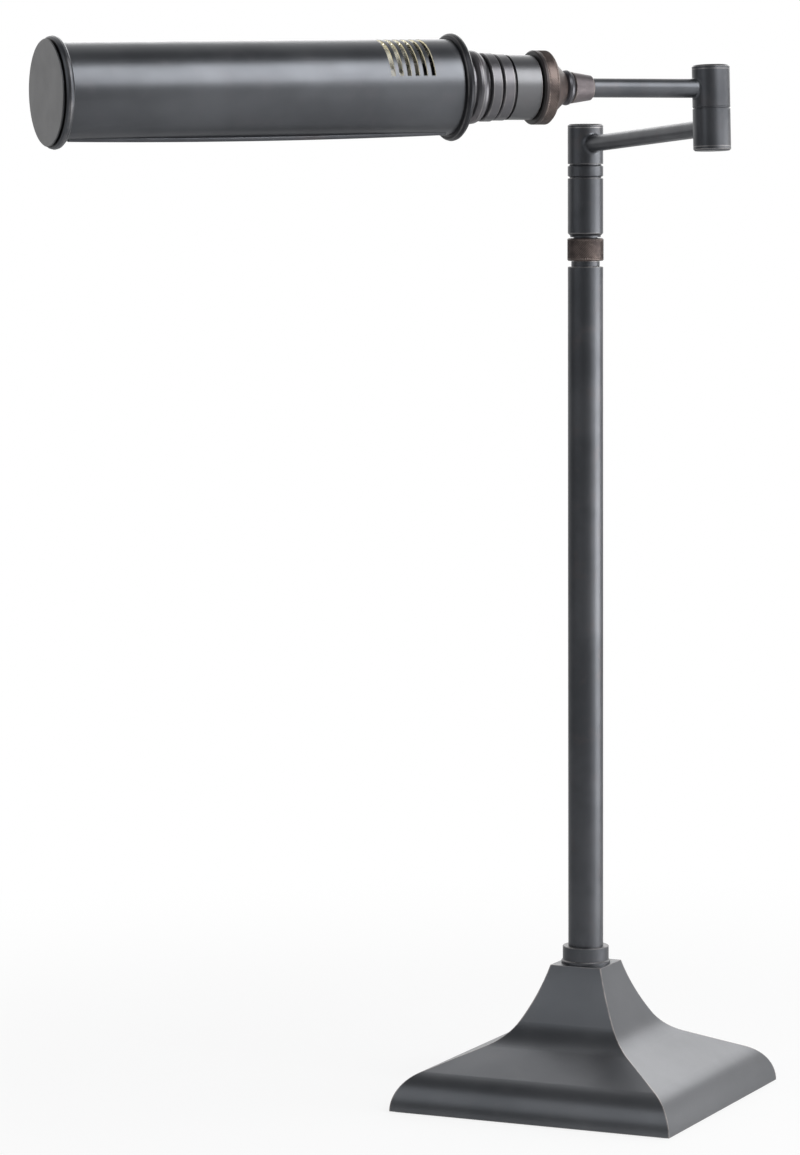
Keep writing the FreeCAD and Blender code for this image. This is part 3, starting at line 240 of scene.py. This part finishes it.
def dark_patina(name, place, edges=(), lathe=True, tones=DARK, wear=0.8):
    """Satin black bronze with clouds of tone, tool lines round or along it, and rubbed edges."""
    deep, tone, cast = tones
    finish = Finish(name, metallic=0.85)
    point = finish.point(place)
    cloud = finish.noise(point, 28.0, 3.0)
    haze = finish.noise(point, 75.0, 4.0, 0.6)
    spread = (30.0, 900.0) if lathe else (700.0, 6.0)
    lines = finish.noise(finish.stretched(point, *spread), 1.0, 3.0, 0.6)
    colour = finish.blend(cloud.between(0.35, 0.65), deep, tone)
    colour = finish.blend(haze.between(0.52, 0.78) * 0.5, colour, cast)
    if edges:
        along = finish.parts(point)[2]
        rub = edge_wear(along, edges, PATINA_EDGE_WIDTH) * haze.between(0.25, 0.6) * wear
        colour = finish.blend(rub, colour, RUBBED_EDGE)
    finish.paint(base_color=colour, roughness=0.27 + haze * 0.14 + lines * 0.05)
    finish.bump(lines * 0.7 + haze * 0.3, 0.02)
    return finish


# Rubbed bronzes: each has a deep tone, a usual tone and the bare metal that shows through

BROWN = ((0.052, 0.040, 0.037), (0.098, 0.074, 0.068), (0.190, 0.158, 0.142))
KNURL = ((0.030, 0.023, 0.022), (0.098, 0.074, 0.068), (0.190, 0.158, 0.142))
MAUVE = ((0.098, 0.086, 0.090), (0.150, 0.132, 0.137), (0.230, 0.200, 0.200))
BRONZE_EDGE = (0.30, 0.26, 0.23)
BRONZE_EDGE_WIDTH = 0.4
KNURL_CREST = 0.30
# Painted shade: near-black tones laid on the lock ring's end and face, and in the end cap's
# groove, where the shadow of a gap or recess falls.
LOCK_END_PAINTED_SHADE = (0.040, 0.034, 0.034)
GAP_PAINTED_SHADE = (0.010, 0.009, 0.009)
LOCK_BAND = (113.1, 113.6)
LOCK_FACE = (115.3, 115.6)


def rubbed_bronze(name, place, tones=BROWN, edges=(), crest=None, band=False):
    """Brown bronze rubbed through the patina on its edges or on a knurl whose crest is a radius.

    A band paints shade on the end and the face of the lock ring, for the shadow in the gap before
    the cup.
    """
    deep, tone, bare = tones
    finish = Finish(name)
    point = finish.point(place)
    across, side, along = finish.parts(point)
    cloud = finish.noise(point, 90.0, 4.0, 0.6)
    grain = finish.noise(point, 420.0, 3.0, 0.6)
    colour = finish.blend(cloud.between(0.3, 0.8), deep, tone)
    colour = finish.blend(grain.between(0.5, 0.8) * 0.4, colour, bare)
    metallic = 0.75 + cloud * 0.1
    if crest:
        high = finish.radius(across, side).over(crest - KNURL_CREST, crest)
        colour = finish.blend(high * cloud.between(0.3, 0.7) * 0.5, colour, bare)
    if edges:
        rub = edge_wear(along, edges, BRONZE_EDGE_WIDTH) * cloud.between(0.3, 0.6) * 0.6
        colour = finish.blend(rub, colour, BRONZE_EDGE)
    # Painted shade on the ring's end and face, where the gap before the cup lies in shadow.
    if band:
        face = along.over(*LOCK_FACE)
        colour = finish.blend(along.over(*LOCK_BAND), colour, LOCK_END_PAINTED_SHADE)
        colour = finish.blend(face, colour, GAP_PAINTED_SHADE)
        metallic = metallic * (1 - face)
    finish.paint(base_color=colour, metallic=metallic, roughness=0.38 + grain * 0.14)
    finish.bump(grain * 0.6 + cloud * 0.4, 0.04)
    return finish


# Base: tones, and the distances over which the bright lines of its ridges, rim, crest and foot
# grow; they are rubbed metal, and on the ridges and rim also a painted highlight

BASE_DEEP = (0.100, 0.104, 0.112)
BASE_TONE = (0.128, 0.132, 0.141)
BASE_CAST = (0.135, 0.132, 0.138)
BASE_BARE_AND_HIGHLIGHT = (0.34, 0.31, 0.30)
BASE_RIDGE = (0.9, 0.3)
BASE_RIM = (16.7, 17.0)
BASE_CREST = (85.4, 85.9)
BASE_FOOT = (1.6, 0.9)


def base_patina():
    """Satin gunmetal on the base, with its ridges and edges rubbed bright, and a painted highlight
    on the ridges and rim for their rounding.
    """
    finish = Finish("base_patina", metallic=0.85)
    point = finish.point()
    across, side, height = finish.parts(point)
    across, side = across.size(), side.size()
    cloud = finish.noise(point, 14.0, 3.0)
    haze = finish.noise(point, 60.0, 4.0, 0.6)
    scratch = finish.noise(finish.stretched(point, 900.0, 30.0), 1.0, 2.0)
    ridge = (across - side).size().over(*BASE_RIDGE)
    rim = across.at_least(side).over(*BASE_RIM) * height.over(*BASE_CREST)
    foot = height.over(*BASE_FOOT)
    # The ridge and rim lines are partly rubbed metal and partly a painted highlight where a
    # rounded edge would catch the light; the foot is only rubbed.
    rub = (ridge * 0.9).at_least(foot * 0.18).at_least(rim * 0.4)
    colour = finish.blend(cloud.between(0.3, 0.7), BASE_DEEP, BASE_TONE)
    colour = finish.blend(haze.between(0.5, 0.8) * 0.3, colour, BASE_CAST)
    colour = finish.blend(rub * (0.35 + 0.65 * haze.between(0.35, 0.6)), colour, BASE_BARE_AND_HIGHLIGHT)
    finish.paint(base_color=colour, roughness=0.25 + haze * 0.10 + scratch * 0.04)
    finish.bump(haze * 0.6 + scratch * 0.4, 0.03)
    return finish


# Shade: tones, and the radii between which its outside gives way to brass

SHADE_DEEP = (0.070, 0.073, 0.080)
SHADE_TONE = (0.092, 0.096, 0.104)
SHADE_CAST = (0.102, 0.099, 0.106)
BRASS_DEEP = (0.95, 0.90, 0.72)
BRASS_TONE = (0.99, 0.96, 0.84)
SHADE_INSIDE = (27.0, 26.9)


def shade_skin():
    """Dark outside, bare brass inside and on the cut edges of the vents."""
    finish = Finish("shade_skin")
    point = finish.point(shade_place)
    across, side, _ = finish.parts(point)
    inside = finish.radius(across, side).over(*SHADE_INSIDE)
    cloud = finish.noise(point, 22.0, 3.0)
    haze = finish.noise(point, 70.0, 4.0, 0.6)
    lines = finish.noise(finish.stretched(point, 500.0, 5.0), 1.0, 3.0, 0.6)
    dark = finish.blend(cloud.between(0.3, 0.7), SHADE_DEEP, SHADE_TONE)
    dark = finish.blend(haze.between(0.5, 0.8) * 0.35, dark, SHADE_CAST)
    brass = finish.blend(haze.between(0.3, 0.7), BRASS_DEEP, BRASS_TONE)
    finish.paint(base_color=finish.blend(inside, dark, brass), metallic=0.88 - inside * 0.12,
                 roughness=(0.26 - inside * 0.08) + haze * 0.12 + lines * 0.05)
    finish.bump(lines * 0.6 + haze * 0.4, 0.02)
    return finish


# End cap: where along the shade its face begins, and the radii of its groove and crown

END_FACE = (240.5, 241.0)
GROOVE_INSIDE = (28.5, 29.0)
GROOVE_OUTSIDE = (29.9, 29.6)
END_CROWN = (30.5, 31.0)
FACE_TONE = (0.104, 0.104, 0.106)


def end_cap_patina():
    """Plain satin face, painted shade in the groove round it, and a rim with a worn crown."""
    deep, tone, _ = DARK
    finish = Finish("end_cap_patina", metallic=0.86)
    point = finish.point(shade_place)
    across, side, along = finish.parts(point)
    radius = finish.radius(across, side)
    cloud = finish.noise(point, 26.0, 3.0)
    haze = finish.noise(point, 75.0, 4.0, 0.6)
    rings = finish.noise(finish.stretched(point, 60.0, 900.0), 1.0, 3.0, 0.6)
    face = along.over(*END_FACE)
    # Painted shade: the groove round the face is darkened where its shadow falls.
    groove = radius.over(*GROOVE_INSIDE) * radius.over(*GROOVE_OUTSIDE) * (1 - face)
    crown = radius.over(*END_CROWN) * haze.between(0.35, 0.7) * 0.5
    colour = finish.blend(cloud.between(0.35, 0.65), deep, tone)
    colour = finish.blend(face, colour, FACE_TONE)
    colour = finish.blend(groove, colour, GAP_PAINTED_SHADE)
    colour = finish.blend(crown, colour, RUBBED_EDGE)
    finish.paint(base_color=colour, roughness=0.28 + haze * 0.12 + rings * 0.06)
    finish.bump(rings * 0.6 + haze * 0.4, 0.02)
    return finish


# Finishes of the smaller and the inner pieces

def plain_metal(name, light, dark, roughness, place=post_place):
    """Bright or plated metal with tool lines round it."""
    finish = Finish(name, metallic=1.0)
    point = finish.point(place)
    haze = finish.noise(point, 120.0, 3.0)
    lines = finish.noise(finish.stretched(point, 40.0, 1200.0), 1.0, 2.0)
    finish.paint(base_color=finish.blend(haze.between(0.3, 0.7), dark, light),
                 roughness=roughness + haze * 0.12)
    finish.bump(lines, 0.02)
    return finish


def speckled(name, first, second, scale, roughness, depth, metallic=0.0, **surface):
    """A grainy finish such as cast iron, felt, rubber or moulded resin."""
    finish = Finish(name, metallic=metallic, **surface)
    point = finish.point()
    grain = finish.noise(point, scale, 4.0, 0.7)
    cloud = finish.noise(point, scale / 12, 2.0)
    colour = finish.blend(grain.between(0.3, 0.7), first, second)
    finish.paint(base_color=colour, roughness=roughness + cloud * 0.1)
    finish.bump(grain, depth)
    return finish


def opal_glass():
    finish = Finish("opal_glass", metallic=0.0, coat_weight=0.6, coat_roughness=0.08)
    cloud = finish.noise(finish.point(), 40.0, 2.0)
    finish.paint(base_color=finish.blend(cloud, (0.80, 0.79, 0.75), (0.88, 0.87, 0.84)),
                 roughness=0.22 + cloud * 0.06)
    return finish


# Edges that wear, in millimetres along the post, the elbow, the upper arm and the shade

POST_EDGES = (88.0, 96.8, 523.8, 527.3, 544.6, 578.5)
HEAD_EDGES = (587.5, 609.8, 611.3)
ELBOW_EDGES = (-24.0, -22.4, 22.4, 24.0)
FERRULE_EDGES = (78.4, 90.4)
CUP_EDGES = (116.6,)
COLLAR_EDGES = (133.8, 139.4, 142.0, 147.2, 153.7)
FLANGE_EDGES = (1.8,)


def dress_outside():
    dress(base_patina(), "base_shell")
    for name, place, node in (("column_patina", post_place, "column_tube"),
                              ("lower_arm_patina", lower_place, "lower_arm"),
                              ("upper_arm_patina", upper_place, "upper_arm")):
        dress(dark_patina(name, place, lathe=False), node)
    dress(dark_patina("post_patina", post_place, POST_EDGES),
          "column_collar", "column_top_bush", "switch_core", "post_sleeve", "swivel_ring")
    dress(dark_patina("head_patina", post_place, HEAD_EDGES), "swivel_head", "head_cap")
    dress(dark_patina("elbow_patina", elbow_place, ELBOW_EDGES),
          "elbow_lower", "elbow_lower_cap", "elbow_upper", "elbow_upper_cap", "elbow_washer")
    dress(rubbed_bronze("ferrule_bronze", upper_place, MAUVE, FERRULE_EDGES), "arm_ferrule")
    dress(dark_patina("bead_patina", upper_place, tones=BEAD), "ferrule_bead")
    dress(rubbed_bronze("cone_bronze", upper_place), "socket_cone")
    dress(dark_patina("cup_patina", upper_place, CUP_EDGES, tones=CUP), "socket_cup")
    dress(dark_patina("collar_patina", upper_place, COLLAR_EDGES, tones=COLLAR, wear=0.6),
          "turned_collar")
    # The flange's very dark patina is painted shade on the ring.
    dress(dark_patina("flange_painted_shade", shade_place, FLANGE_EDGES, tones=FLANGE_PAINTED_SHADE, wear=0.35),
          "shade_flange")
    dress(end_cap_patina(), "shade_end_cap")


def dress_inside():
    dress(plain_metal("zinc_steel", (0.62, 0.61, 0.58), (0.50, 0.50, 0.49), 0.28),
          "plate_screws", "tie_tube", "tie_washer", "tie_nut",
          "swivel_spindle", "swivel_spring", "swivel_nut",
          "elbow_spindle", "elbow_spring", "elbow_nut",
          "shade_spindle", "shade_spring", "shade_nut", "lampholder_nipple", "nipple_nut")
    dress(plain_metal("contact_brass", (0.80, 0.62, 0.28), (0.66, 0.48, 0.20), 0.25, shade_place),
          "centre_contact")
    dress(plain_metal("cap_aluminium", (0.80, 0.79, 0.77), (0.68, 0.67, 0.66), 0.22, shade_place),
          "bulb_cap")
    dress(speckled("black_sheet", (0.020, 0.020, 0.022), (0.035, 0.035, 0.038),
                   scale=700.0, roughness=0.45, depth=0.03), "bottom_plate")
    dress(speckled("cast_iron", (0.10, 0.095, 0.09), (0.19, 0.18, 0.17),
                   scale=500.0, roughness=0.6, depth=0.2, metallic=0.6), "base_weight")
    dress(speckled("green_felt", (0.018, 0.024, 0.020), (0.042, 0.050, 0.045),
                   scale=1400.0, roughness=0.92, depth=0.3), "felt_pad")
    dress(speckled("bush_rubber", (0.018, 0.018, 0.018), (0.030, 0.030, 0.030),
                   scale=900.0, roughness=0.6, depth=0.05), "cable_bush")
    dress(speckled("black_resin", (0.014, 0.014, 0.015), (0.028, 0.027, 0.026),
                   scale=350.0, roughness=0.24, depth=0.03, coat_weight=0.3), "lampholder")
    dress(opal_glass(), "bulb_glass")


# New pieces, shaped about the Z axis in millimetres and then put in their places

SMOOTH_BELOW = 35
KNURL_SMOOTH_BELOW = 12


def open_mesh(name, mode):
    """Name the new object and select all its mesh, in a select mode, for editing."""
    piece = bpy.context.object
    piece.name = name
    bpy.ops.object.mode_set(mode="EDIT")
    bpy.ops.mesh.select_mode(type=mode)
    bpy.ops.mesh.select_all(action="SELECT")
    return piece


def extrude(x, y, z):
    bpy.ops.mesh.extrude_region_move(
        TRANSFORM_OT_translate={"value": (x * MM, y * MM, z * MM)})


def close_mesh():
    """Turn all faces outwards and leave the mesh."""
    bpy.ops.mesh.select_all(action="SELECT")
    bpy.ops.mesh.normals_make_consistent(inside=False)
    bpy.ops.object.mode_set(mode="OBJECT")


def spot_at(radius, degrees, along):
    """A point in metres, at a radius and a turn about the Z axis."""
    turn = math.radians(degrees)
    return radius * math.cos(turn) * MM, radius * math.sin(turn) * MM, along * MM


def set_down(piece, place, finish, body, node=None, smooth=SMOOTH_BELOW):
    """Put a piece in its place on the lamp."""
    bpy.ops.object.select_all(action="DESELECT")
    piece.select_set(True)
    bpy.context.view_layer.objects.active = piece
    piece.matrix_world = place
    bpy.ops.object.transform_apply(location=True, rotation=True, scale=True)
    bpy.ops.object.shade_smooth_by_angle(angle=math.radians(smooth))
    piece.data.materials.append(finish.material)
    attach(piece, body)
    if node:
        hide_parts(node)


def turned_piece(name, sides, profile):
    """A closed ring turned from pairs of a radius and a place along the axis."""
    radius, along = profile[0]
    bpy.ops.mesh.primitive_circle_add(vertices=sides, radius=radius * MM,
                                      location=(0, 0, along * MM))
    piece = open_mesh(name, "EDGE")
    for next_radius, next_along in profile[1:]:
        extrude(0, 0, next_along - along)
        growth = next_radius / radius
        bpy.ops.transform.resize(value=(growth, growth, 1), center_override=(0, 0, 0))
        radius, along = next_radius, next_along
    bpy.ops.mesh.select_all(action="DESELECT")
    bpy.ops.mesh.select_non_manifold(extend=False, use_wire=False, use_multi_face=False,
                                     use_non_contiguous=False, use_verts=False)
    bpy.ops.mesh.bridge_edge_loops()
    close_mesh()
    bpy.ops.object.transform_apply(location=True, rotation=True, scale=True)
    return piece


# Knurled rings

LOCK_RING = {"sides": 180, "outside": 21.1, "bore": 13.06, "start": 106.1, "end": 115.7,
             "bevel": 0.9, "knurl": (107.3, 113.1), "rows": 8, "depth": 0.34}
SWITCH_RING = {"sides": 96, "outside": 11.25, "bore": 7.56, "start": 527.5, "end": 541.5,
               "bevel": 0.6, "knurl": (528.5, 540.5), "rows": 16, "depth": 0.30}


def knurled_ring(name, sides, outside, bore, start, end, bevel, knurl, rows, depth):
    """A ring with a diamond knurl between two places along it."""
    pitch = (knurl[1] - knurl[0]) / rows
    profile = [(bore, start), (outside - bevel, start), (outside, start + bevel)]
    profile += [(outside, knurl[0] + pitch * row) for row in range(rows + 1)]
    profile += [(outside, end - bevel), (outside - bevel, end), (bore, end)]
    ring = turned_piece(name, sides, profile)
    for point in ring.data.vertices:
        row = (point.co.z / MM - knurl[0]) / pitch
        turn = round(math.atan2(point.co.y, point.co.x) / math.tau * sides)
        outer = math.hypot(point.co.x, point.co.y) > (outside - depth / 2) * MM
        if outer and 0.5 < row < rows - 0.5 and (round(row) + turn) % 2:
            point.co.x *= 1 - depth / outside
            point.co.y *= 1 - depth / outside
    return ring


# Brazed roots of the arms

POST_RADIUS = 11.0
LOWER_ARM_RADIUS = 5.0
UPPER_ARM_RADIUS = 5.5
HEAD_FILLET = 1.9
ELBOW_FILLET = 1.2
FILLET_SUNK = 0.5
FILLET_STEPS = 6
FILLET_SIDES = 64


def root_fillet(name, arm_radius, post_axis, size):
    """Fillet round an arm along Z, where it leaves a post whose axis passes through the origin."""
    profile = [(arm_radius - FILLET_SUNK, -FILLET_SUNK), (arm_radius - FILLET_SUNK, size)]
    for step in range(FILLET_STEPS + 1):
        turn = math.pi / 2 * step / FILLET_STEPS
        profile.append((arm_radius + size * (1 - math.cos(turn)), size * (1 - math.sin(turn))))
    profile.append((arm_radius + size, -FILLET_SUNK))
    fillet = turned_piece(name, FILLET_SIDES, profile)
    square = 1 - post_axis.z ** 2
    for point in fillet.data.vertices:
        side = Vector((point.co.x, point.co.y, 0))
        slip = side.dot(post_axis)
        short = side.dot(side) - slip ** 2 - (POST_RADIUS * MM) ** 2
        inside = (slip * post_axis.z) ** 2 - square * short
        point.co.z += (slip * post_axis.z + math.sqrt(inside)) / square
    return fillet


def seen_from(place, direction):
    """A direction of the lamp in the frame of a place."""
    return place.to_3x3().transposed() @ direction


# Shade sheet, measured along from the flange, and round from the middle of the opening in degrees

SHEET_RADIUS = 27.1
SHEET_THICKNESS = 0.9
SHEET_ENDS = (0.4, 238.2)
OPENING_ENDS = (6.9, 231.7)
OPENING_HALF = 45.0
VENT_FIRST = 21.6
VENT_PITCH = 4.9
VENT_WIDTH = 2.6
VENT_COUNT = 6
VENT_HALF = 48.5
PLAIN_FIRST = 62.0
PLAIN_PITCH = 17.0
PLAIN_COUNT = 10
SIDE_STEPS = 34
VENT_STEPS = 40
OPENING_STEPS = 36
WELD_WITHIN = 0.01 * MM


def lone_point(name, spot):
    """A mesh of one point, open for editing, for a line to be drawn from."""
    bpy.ops.mesh.primitive_plane_add(size=MM, location=(0, 0, 0))
    piece = open_mesh(name, "VERT")
    bpy.ops.mesh.merge(type="CENTER")
    bpy.ops.transform.translate(value=spot)
    return piece


def shade_sheet():
    """Rolled sheet, open along its underside, with a row of vents on its back."""
    vents = [VENT_FIRST + VENT_PITCH * index for index in range(VENT_COUNT)]
    stations = [SHEET_ENDS[0], OPENING_ENDS[0]]
    for vent in vents:
        stations += [vent - VENT_WIDTH / 2, vent + VENT_WIDTH / 2]
    stations += [PLAIN_FIRST + PLAIN_PITCH * index for index in range(PLAIN_COUNT)]
    stations += [OPENING_ENDS[1], SHEET_ENDS[1]]
    sheet = lone_point("shade_sheet", spot_at(SHEET_RADIUS, OPENING_HALF, stations[0]))
    for here, after in zip(stations, stations[1:]):
        extrude(0, 0, after - here)
    bpy.ops.mesh.select_all(action="SELECT")
    side = 180.0 - VENT_HALF - OPENING_HALF
    for sweep, steps in ((side, SIDE_STEPS), (2 * VENT_HALF, VENT_STEPS), (side, SIDE_STEPS),
                         (2 * OPENING_HALF, OPENING_STEPS)):
        bpy.ops.mesh.spin(steps=steps, angle=math.radians(sweep), center=(0, 0, 0),
                          axis=(0, 0, 1))
    bpy.ops.mesh.select_all(action="SELECT")
    bpy.ops.mesh.remove_doubles(threshold=WELD_WITHIN)
    bpy.ops.mesh.normals_make_consistent(inside=False)
    cut_openings(sheet, vents)
    face_outwards(sheet)
    wall = sheet.modifiers.new("wall", "SOLIDIFY")
    wall.thickness = SHEET_THICKNESS * MM
    wall.offset = -1
    wall.use_even_offset = True
    bpy.ops.object.modifier_apply(modifier=wall.name)
    return sheet


def cut_openings(sheet, vents):
    """Cut the opening and the vents from the sheet, which is open for editing, and close it."""
    bpy.ops.mesh.select_mode(type="FACE")
    bpy.ops.mesh.select_all(action="DESELECT")
    bpy.ops.object.mode_set(mode="OBJECT")
    for face in sheet.data.polygons:
        turn = abs(math.degrees(math.atan2(face.center.y, face.center.x)))
        along = face.center.z / MM
        opened = turn < OPENING_HALF and OPENING_ENDS[0] < along < OPENING_ENDS[1]
        in_vent = any(abs(along - vent) < VENT_WIDTH / 2 for vent in vents)
        face.select = opened or (in_vent and turn > 180.0 - VENT_HALF)
    bpy.ops.object.mode_set(mode="EDIT")
    bpy.ops.mesh.delete(type="FACE")
    bpy.ops.mesh.select_all(action="SELECT")
    bpy.ops.object.mode_set(mode="OBJECT")


def face_outwards(sheet):
    """Flip the selected faces of the sheet if its first face looks at the axis."""
    face = sheet.data.polygons[0]
    if face.normal.x * face.center.x + face.normal.y * face.center.y < 0:
        bpy.ops.object.mode_set(mode="EDIT")
        bpy.ops.mesh.flip_normals()
        bpy.ops.object.mode_set(mode="OBJECT")


HEM_CENTRE = 26.3
HEM_RADIUS = 1.62
HEM_BOW = 1.5
HEM_STEPS = 28
HEM_SIDES = 24


def hem_roll(name, side):
    """The sheet's edge rolled round a wire, bowed a little outwards, on a side of the opening."""
    turn = math.radians(OPENING_HALF) * side
    bpy.ops.mesh.primitive_circle_add(vertices=HEM_SIDES, radius=HEM_RADIUS * MM,
                                      fill_type="NGON", location=(0, 0, 0))
    roll = open_mesh(name, "FACE")
    bpy.ops.transform.translate(value=spot_at(HEM_CENTRE, OPENING_HALF * side, OPENING_ENDS[0]))
    step = (OPENING_ENDS[1] - OPENING_ENDS[0]) / HEM_STEPS
    shares = [index / HEM_STEPS for index in range(HEM_STEPS + 1)]
    bows = [4 * HEM_BOW * share * (1 - share) for share in shares]
    for here, after in zip(bows, bows[1:]):
        out = after - here
        extrude(out * math.cos(turn), out * math.sin(turn), step)
    close_mesh()
    return roll


def add_pieces():
    ring = knurled_ring("lock_ring_knurled", **LOCK_RING)
    bronze = rubbed_bronze("lock_knurl_bronze", upper_place, KNURL, crest=LOCK_RING["outside"],
                           band=True)
    set_down(ring, upper_place, bronze, "shade_lock", "lock_ring",
             KNURL_SMOOTH_BELOW)
    ring = knurled_ring("switch_ring_knurled", **SWITCH_RING)
    bronze = rubbed_bronze("switch_knurl_bronze", post_place, KNURL, crest=SWITCH_RING["outside"])
    set_down(ring, post_place, bronze, "switch", "switch_ring",
             KNURL_SMOOTH_BELOW)

    set_down(shade_sheet(), shade_place, shade_skin(), "shade", "shade_tube")
    for name, side in (("first_hem", 1), ("second_hem", -1)):
        patina = dark_patina(name + "_patina", shade_place)
        set_down(hem_roll(name, side), shade_place, patina, "shade")

    for name, place, radius, axis, size, body in (
            ("head_fillet", lower_place, LOWER_ARM_RADIUS, UP, HEAD_FILLET, "lower_swing"),
            ("elbow_lower_fillet", lower_end_place, LOWER_ARM_RADIUS, elbow_axis, ELBOW_FILLET,
             "lower_swing"),
            ("elbow_upper_fillet", upper_place, UPPER_ARM_RADIUS, elbow_axis, ELBOW_FILLET,
             "upper_swing")):
        fillet = root_fillet(name, radius, seen_from(place, axis), size)
        set_down(fillet, place, dark_patina(name + "_patina", place), body)


# Camera: where it stands, the way it looks in plan and downwards, and its small roll, in degrees

CAMERA_PLACE = Vector((1.0392, -2.4878, 0.5836))
CAMERA_BEARING = 115.14
CAMERA_DIP = 5.372
CAMERA_ROLL = -0.2527
CAMERA_LENS = 134.77
CAMERA_SENSOR = 36.0

bearing, dip, tilt = (math.radians(angle) for angle in (CAMERA_BEARING, CAMERA_DIP, CAMERA_ROLL))
view_run = Vector((math.cos(bearing) * math.cos(dip), math.sin(bearing) * math.cos(dip),
                   -math.sin(dip)))
view_right = Vector((math.sin(bearing), -math.cos(bearing), 0))
view_ahead = UP.cross(view_right)


def place_camera():
    rolled = view_right * math.cos(tilt) + view_right.cross(view_run) * math.sin(tilt)
    data = bpy.data.cameras.new("camera")
    data.lens = CAMERA_LENS
    data.sensor_width = CAMERA_SENSOR
    camera = bpy.data.objects.new("camera", data)
    bpy.context.collection.objects.link(camera)
    axes = Matrix((rolled, rolled.cross(view_run), -view_run)).transposed()
    camera.matrix_world = Matrix.Translation(CAMERA_PLACE) @ axes.to_4x4()
    bpy.context.scene.camera = camera


# Studio: soft boxes that face the lamp's middle, from a bearing that counts from the camera's side
# towards its right, and from a height in degrees

STUDIO_MIDDLE = Vector((0.0, -0.08, 0.32))
AREA_LIGHT_FACTOR = 4.0
WHITE = (1.0, 1.0, 1.0)
WARM_WHITE = (1.0, 0.995, 0.99)
COOL_WHITE = (0.99, 0.995, 1.0)
BLUE_WHITE = (0.96, 0.98, 1.0)


def soft_box(name, bearing, lift, distance, width, height, brightness, colour=WHITE):
    """An area light as bright to look at as the brightness says, whatever its size."""
    turn, rise = math.radians(bearing), math.radians(lift)
    flat = -view_ahead * math.cos(turn) + view_right * math.sin(turn)
    away = flat * math.cos(rise) + UP * math.sin(rise)
    data = bpy.data.lights.new(name, "AREA")
    data.shape = "RECTANGLE"
    data.size = width
    data.size_y = height
    data.energy = brightness * AREA_LIGHT_FACTOR * width * height
    data.color = colour
    light = bpy.data.objects.new(name, data)
    bpy.context.collection.objects.link(light)
    light.location = STUDIO_MIDDLE + away * distance
    light.rotation_euler = away.to_track_quat("Z", "Y").to_euler()
    light.visible_camera = False


def light_studio():
    soft_box("side_box", bearing=88, lift=-3, distance=1.30, width=1.00, height=0.84,
             brightness=4.8, colour=WARM_WHITE)
    soft_box("top_box", bearing=43, lift=44, distance=1.65, width=0.90, height=1.08,
             brightness=5.4, colour=COOL_WHITE)
    soft_box("front_box", bearing=52, lift=9, distance=1.80, width=1.00, height=1.30,
             brightness=1.3)
    soft_box("left_box", bearing=-60, lift=26, distance=1.70, width=1.60, height=1.10,
             brightness=0.75, colour=BLUE_WHITE)
    soft_box("back_top", bearing=168, lift=28, distance=2.00, width=2.00, height=1.10,
             brightness=1.3)


ROOM_TONE = (0.15, 0.154, 0.158)


def light_world():
    """A white backdrop, which metal reflects too, and a dimmer room on the camera's side."""
    world = bpy.data.worlds.new("studio")
    bpy.context.scene.world = world
    sky = Patch(world)
    way = sky.node("ShaderNodeTexCoord", output="Generated")
    behind = sky.node("ShaderNodeVectorMath", {"operation": "DOT_PRODUCT"},
                      {0: way, 1: view_ahead}, output=1)
    mirrored = sky.ray("Is Glossy Ray") * behind.between(0.1, 0.7)
    backdrop = sky.node("ShaderNodeBackground", inputs={"Color": WHITE})
    room = sky.node("ShaderNodeBackground", inputs={"Color": ROOM_TONE})
    light = sky.mix_surfaces(sky.looked_at().at_least(mirrored), room, backdrop)
    sky.put(sky.tree.nodes["World Output"].inputs["Surface"], light)


FLOOR_REACH = 6.0
FLOOR_DROP = 0.2 * MM
FLOOR_TONE = (0.8, 0.8, 0.8)
NEAR_FLOOR, FAR_FLOOR = 0.2, 0.9
FLOOR_GLOW = 0.84
MIRRORED_GLOW = 0.2


def lay_floor():
    """A pale floor that looks white far off and keeps the lamp's soft shadow.

    Metal reflects it dimly, and at full white after a second bounce, as inside the shade.
    """
    bpy.ops.mesh.primitive_plane_add(size=2 * FLOOR_REACH, location=(0, 0, -FLOOR_DROP))
    floor = bpy.context.object
    floor.name = "floor"
    pale = Finish("pale_floor", base_color=FLOOR_TONE, roughness=0.9)
    across, side, _ = pale.parts(pale.point())
    far = pale.radius(across, side).between(NEAR_FLOOR, FAR_FLOOR)
    again = pale.ray("Ray Depth").between(1.4, 1.6)
    glow = pale.looked_at() * (FLOOR_GLOW + (1 - FLOOR_GLOW) * far)
    glow = glow + pale.ray("Is Glossy Ray") * (MIRRORED_GLOW + (1 - MIRRORED_GLOW) * again)
    surface = Wire(pale, pale.shader.outputs[0])
    lit = pale.mix_surfaces(glow, surface, pale.node("ShaderNodeEmission"))
    pale.put(pale.tree.nodes["Material Output"].inputs["Surface"], lit)
    floor.data.materials.append(pale.material)


dress_outside()
dress_inside()
add_pieces()
place_camera()
light_studio()
light_world()
lay_floor()
bpy.context.scene.view_settings.view_transform = "Standard"
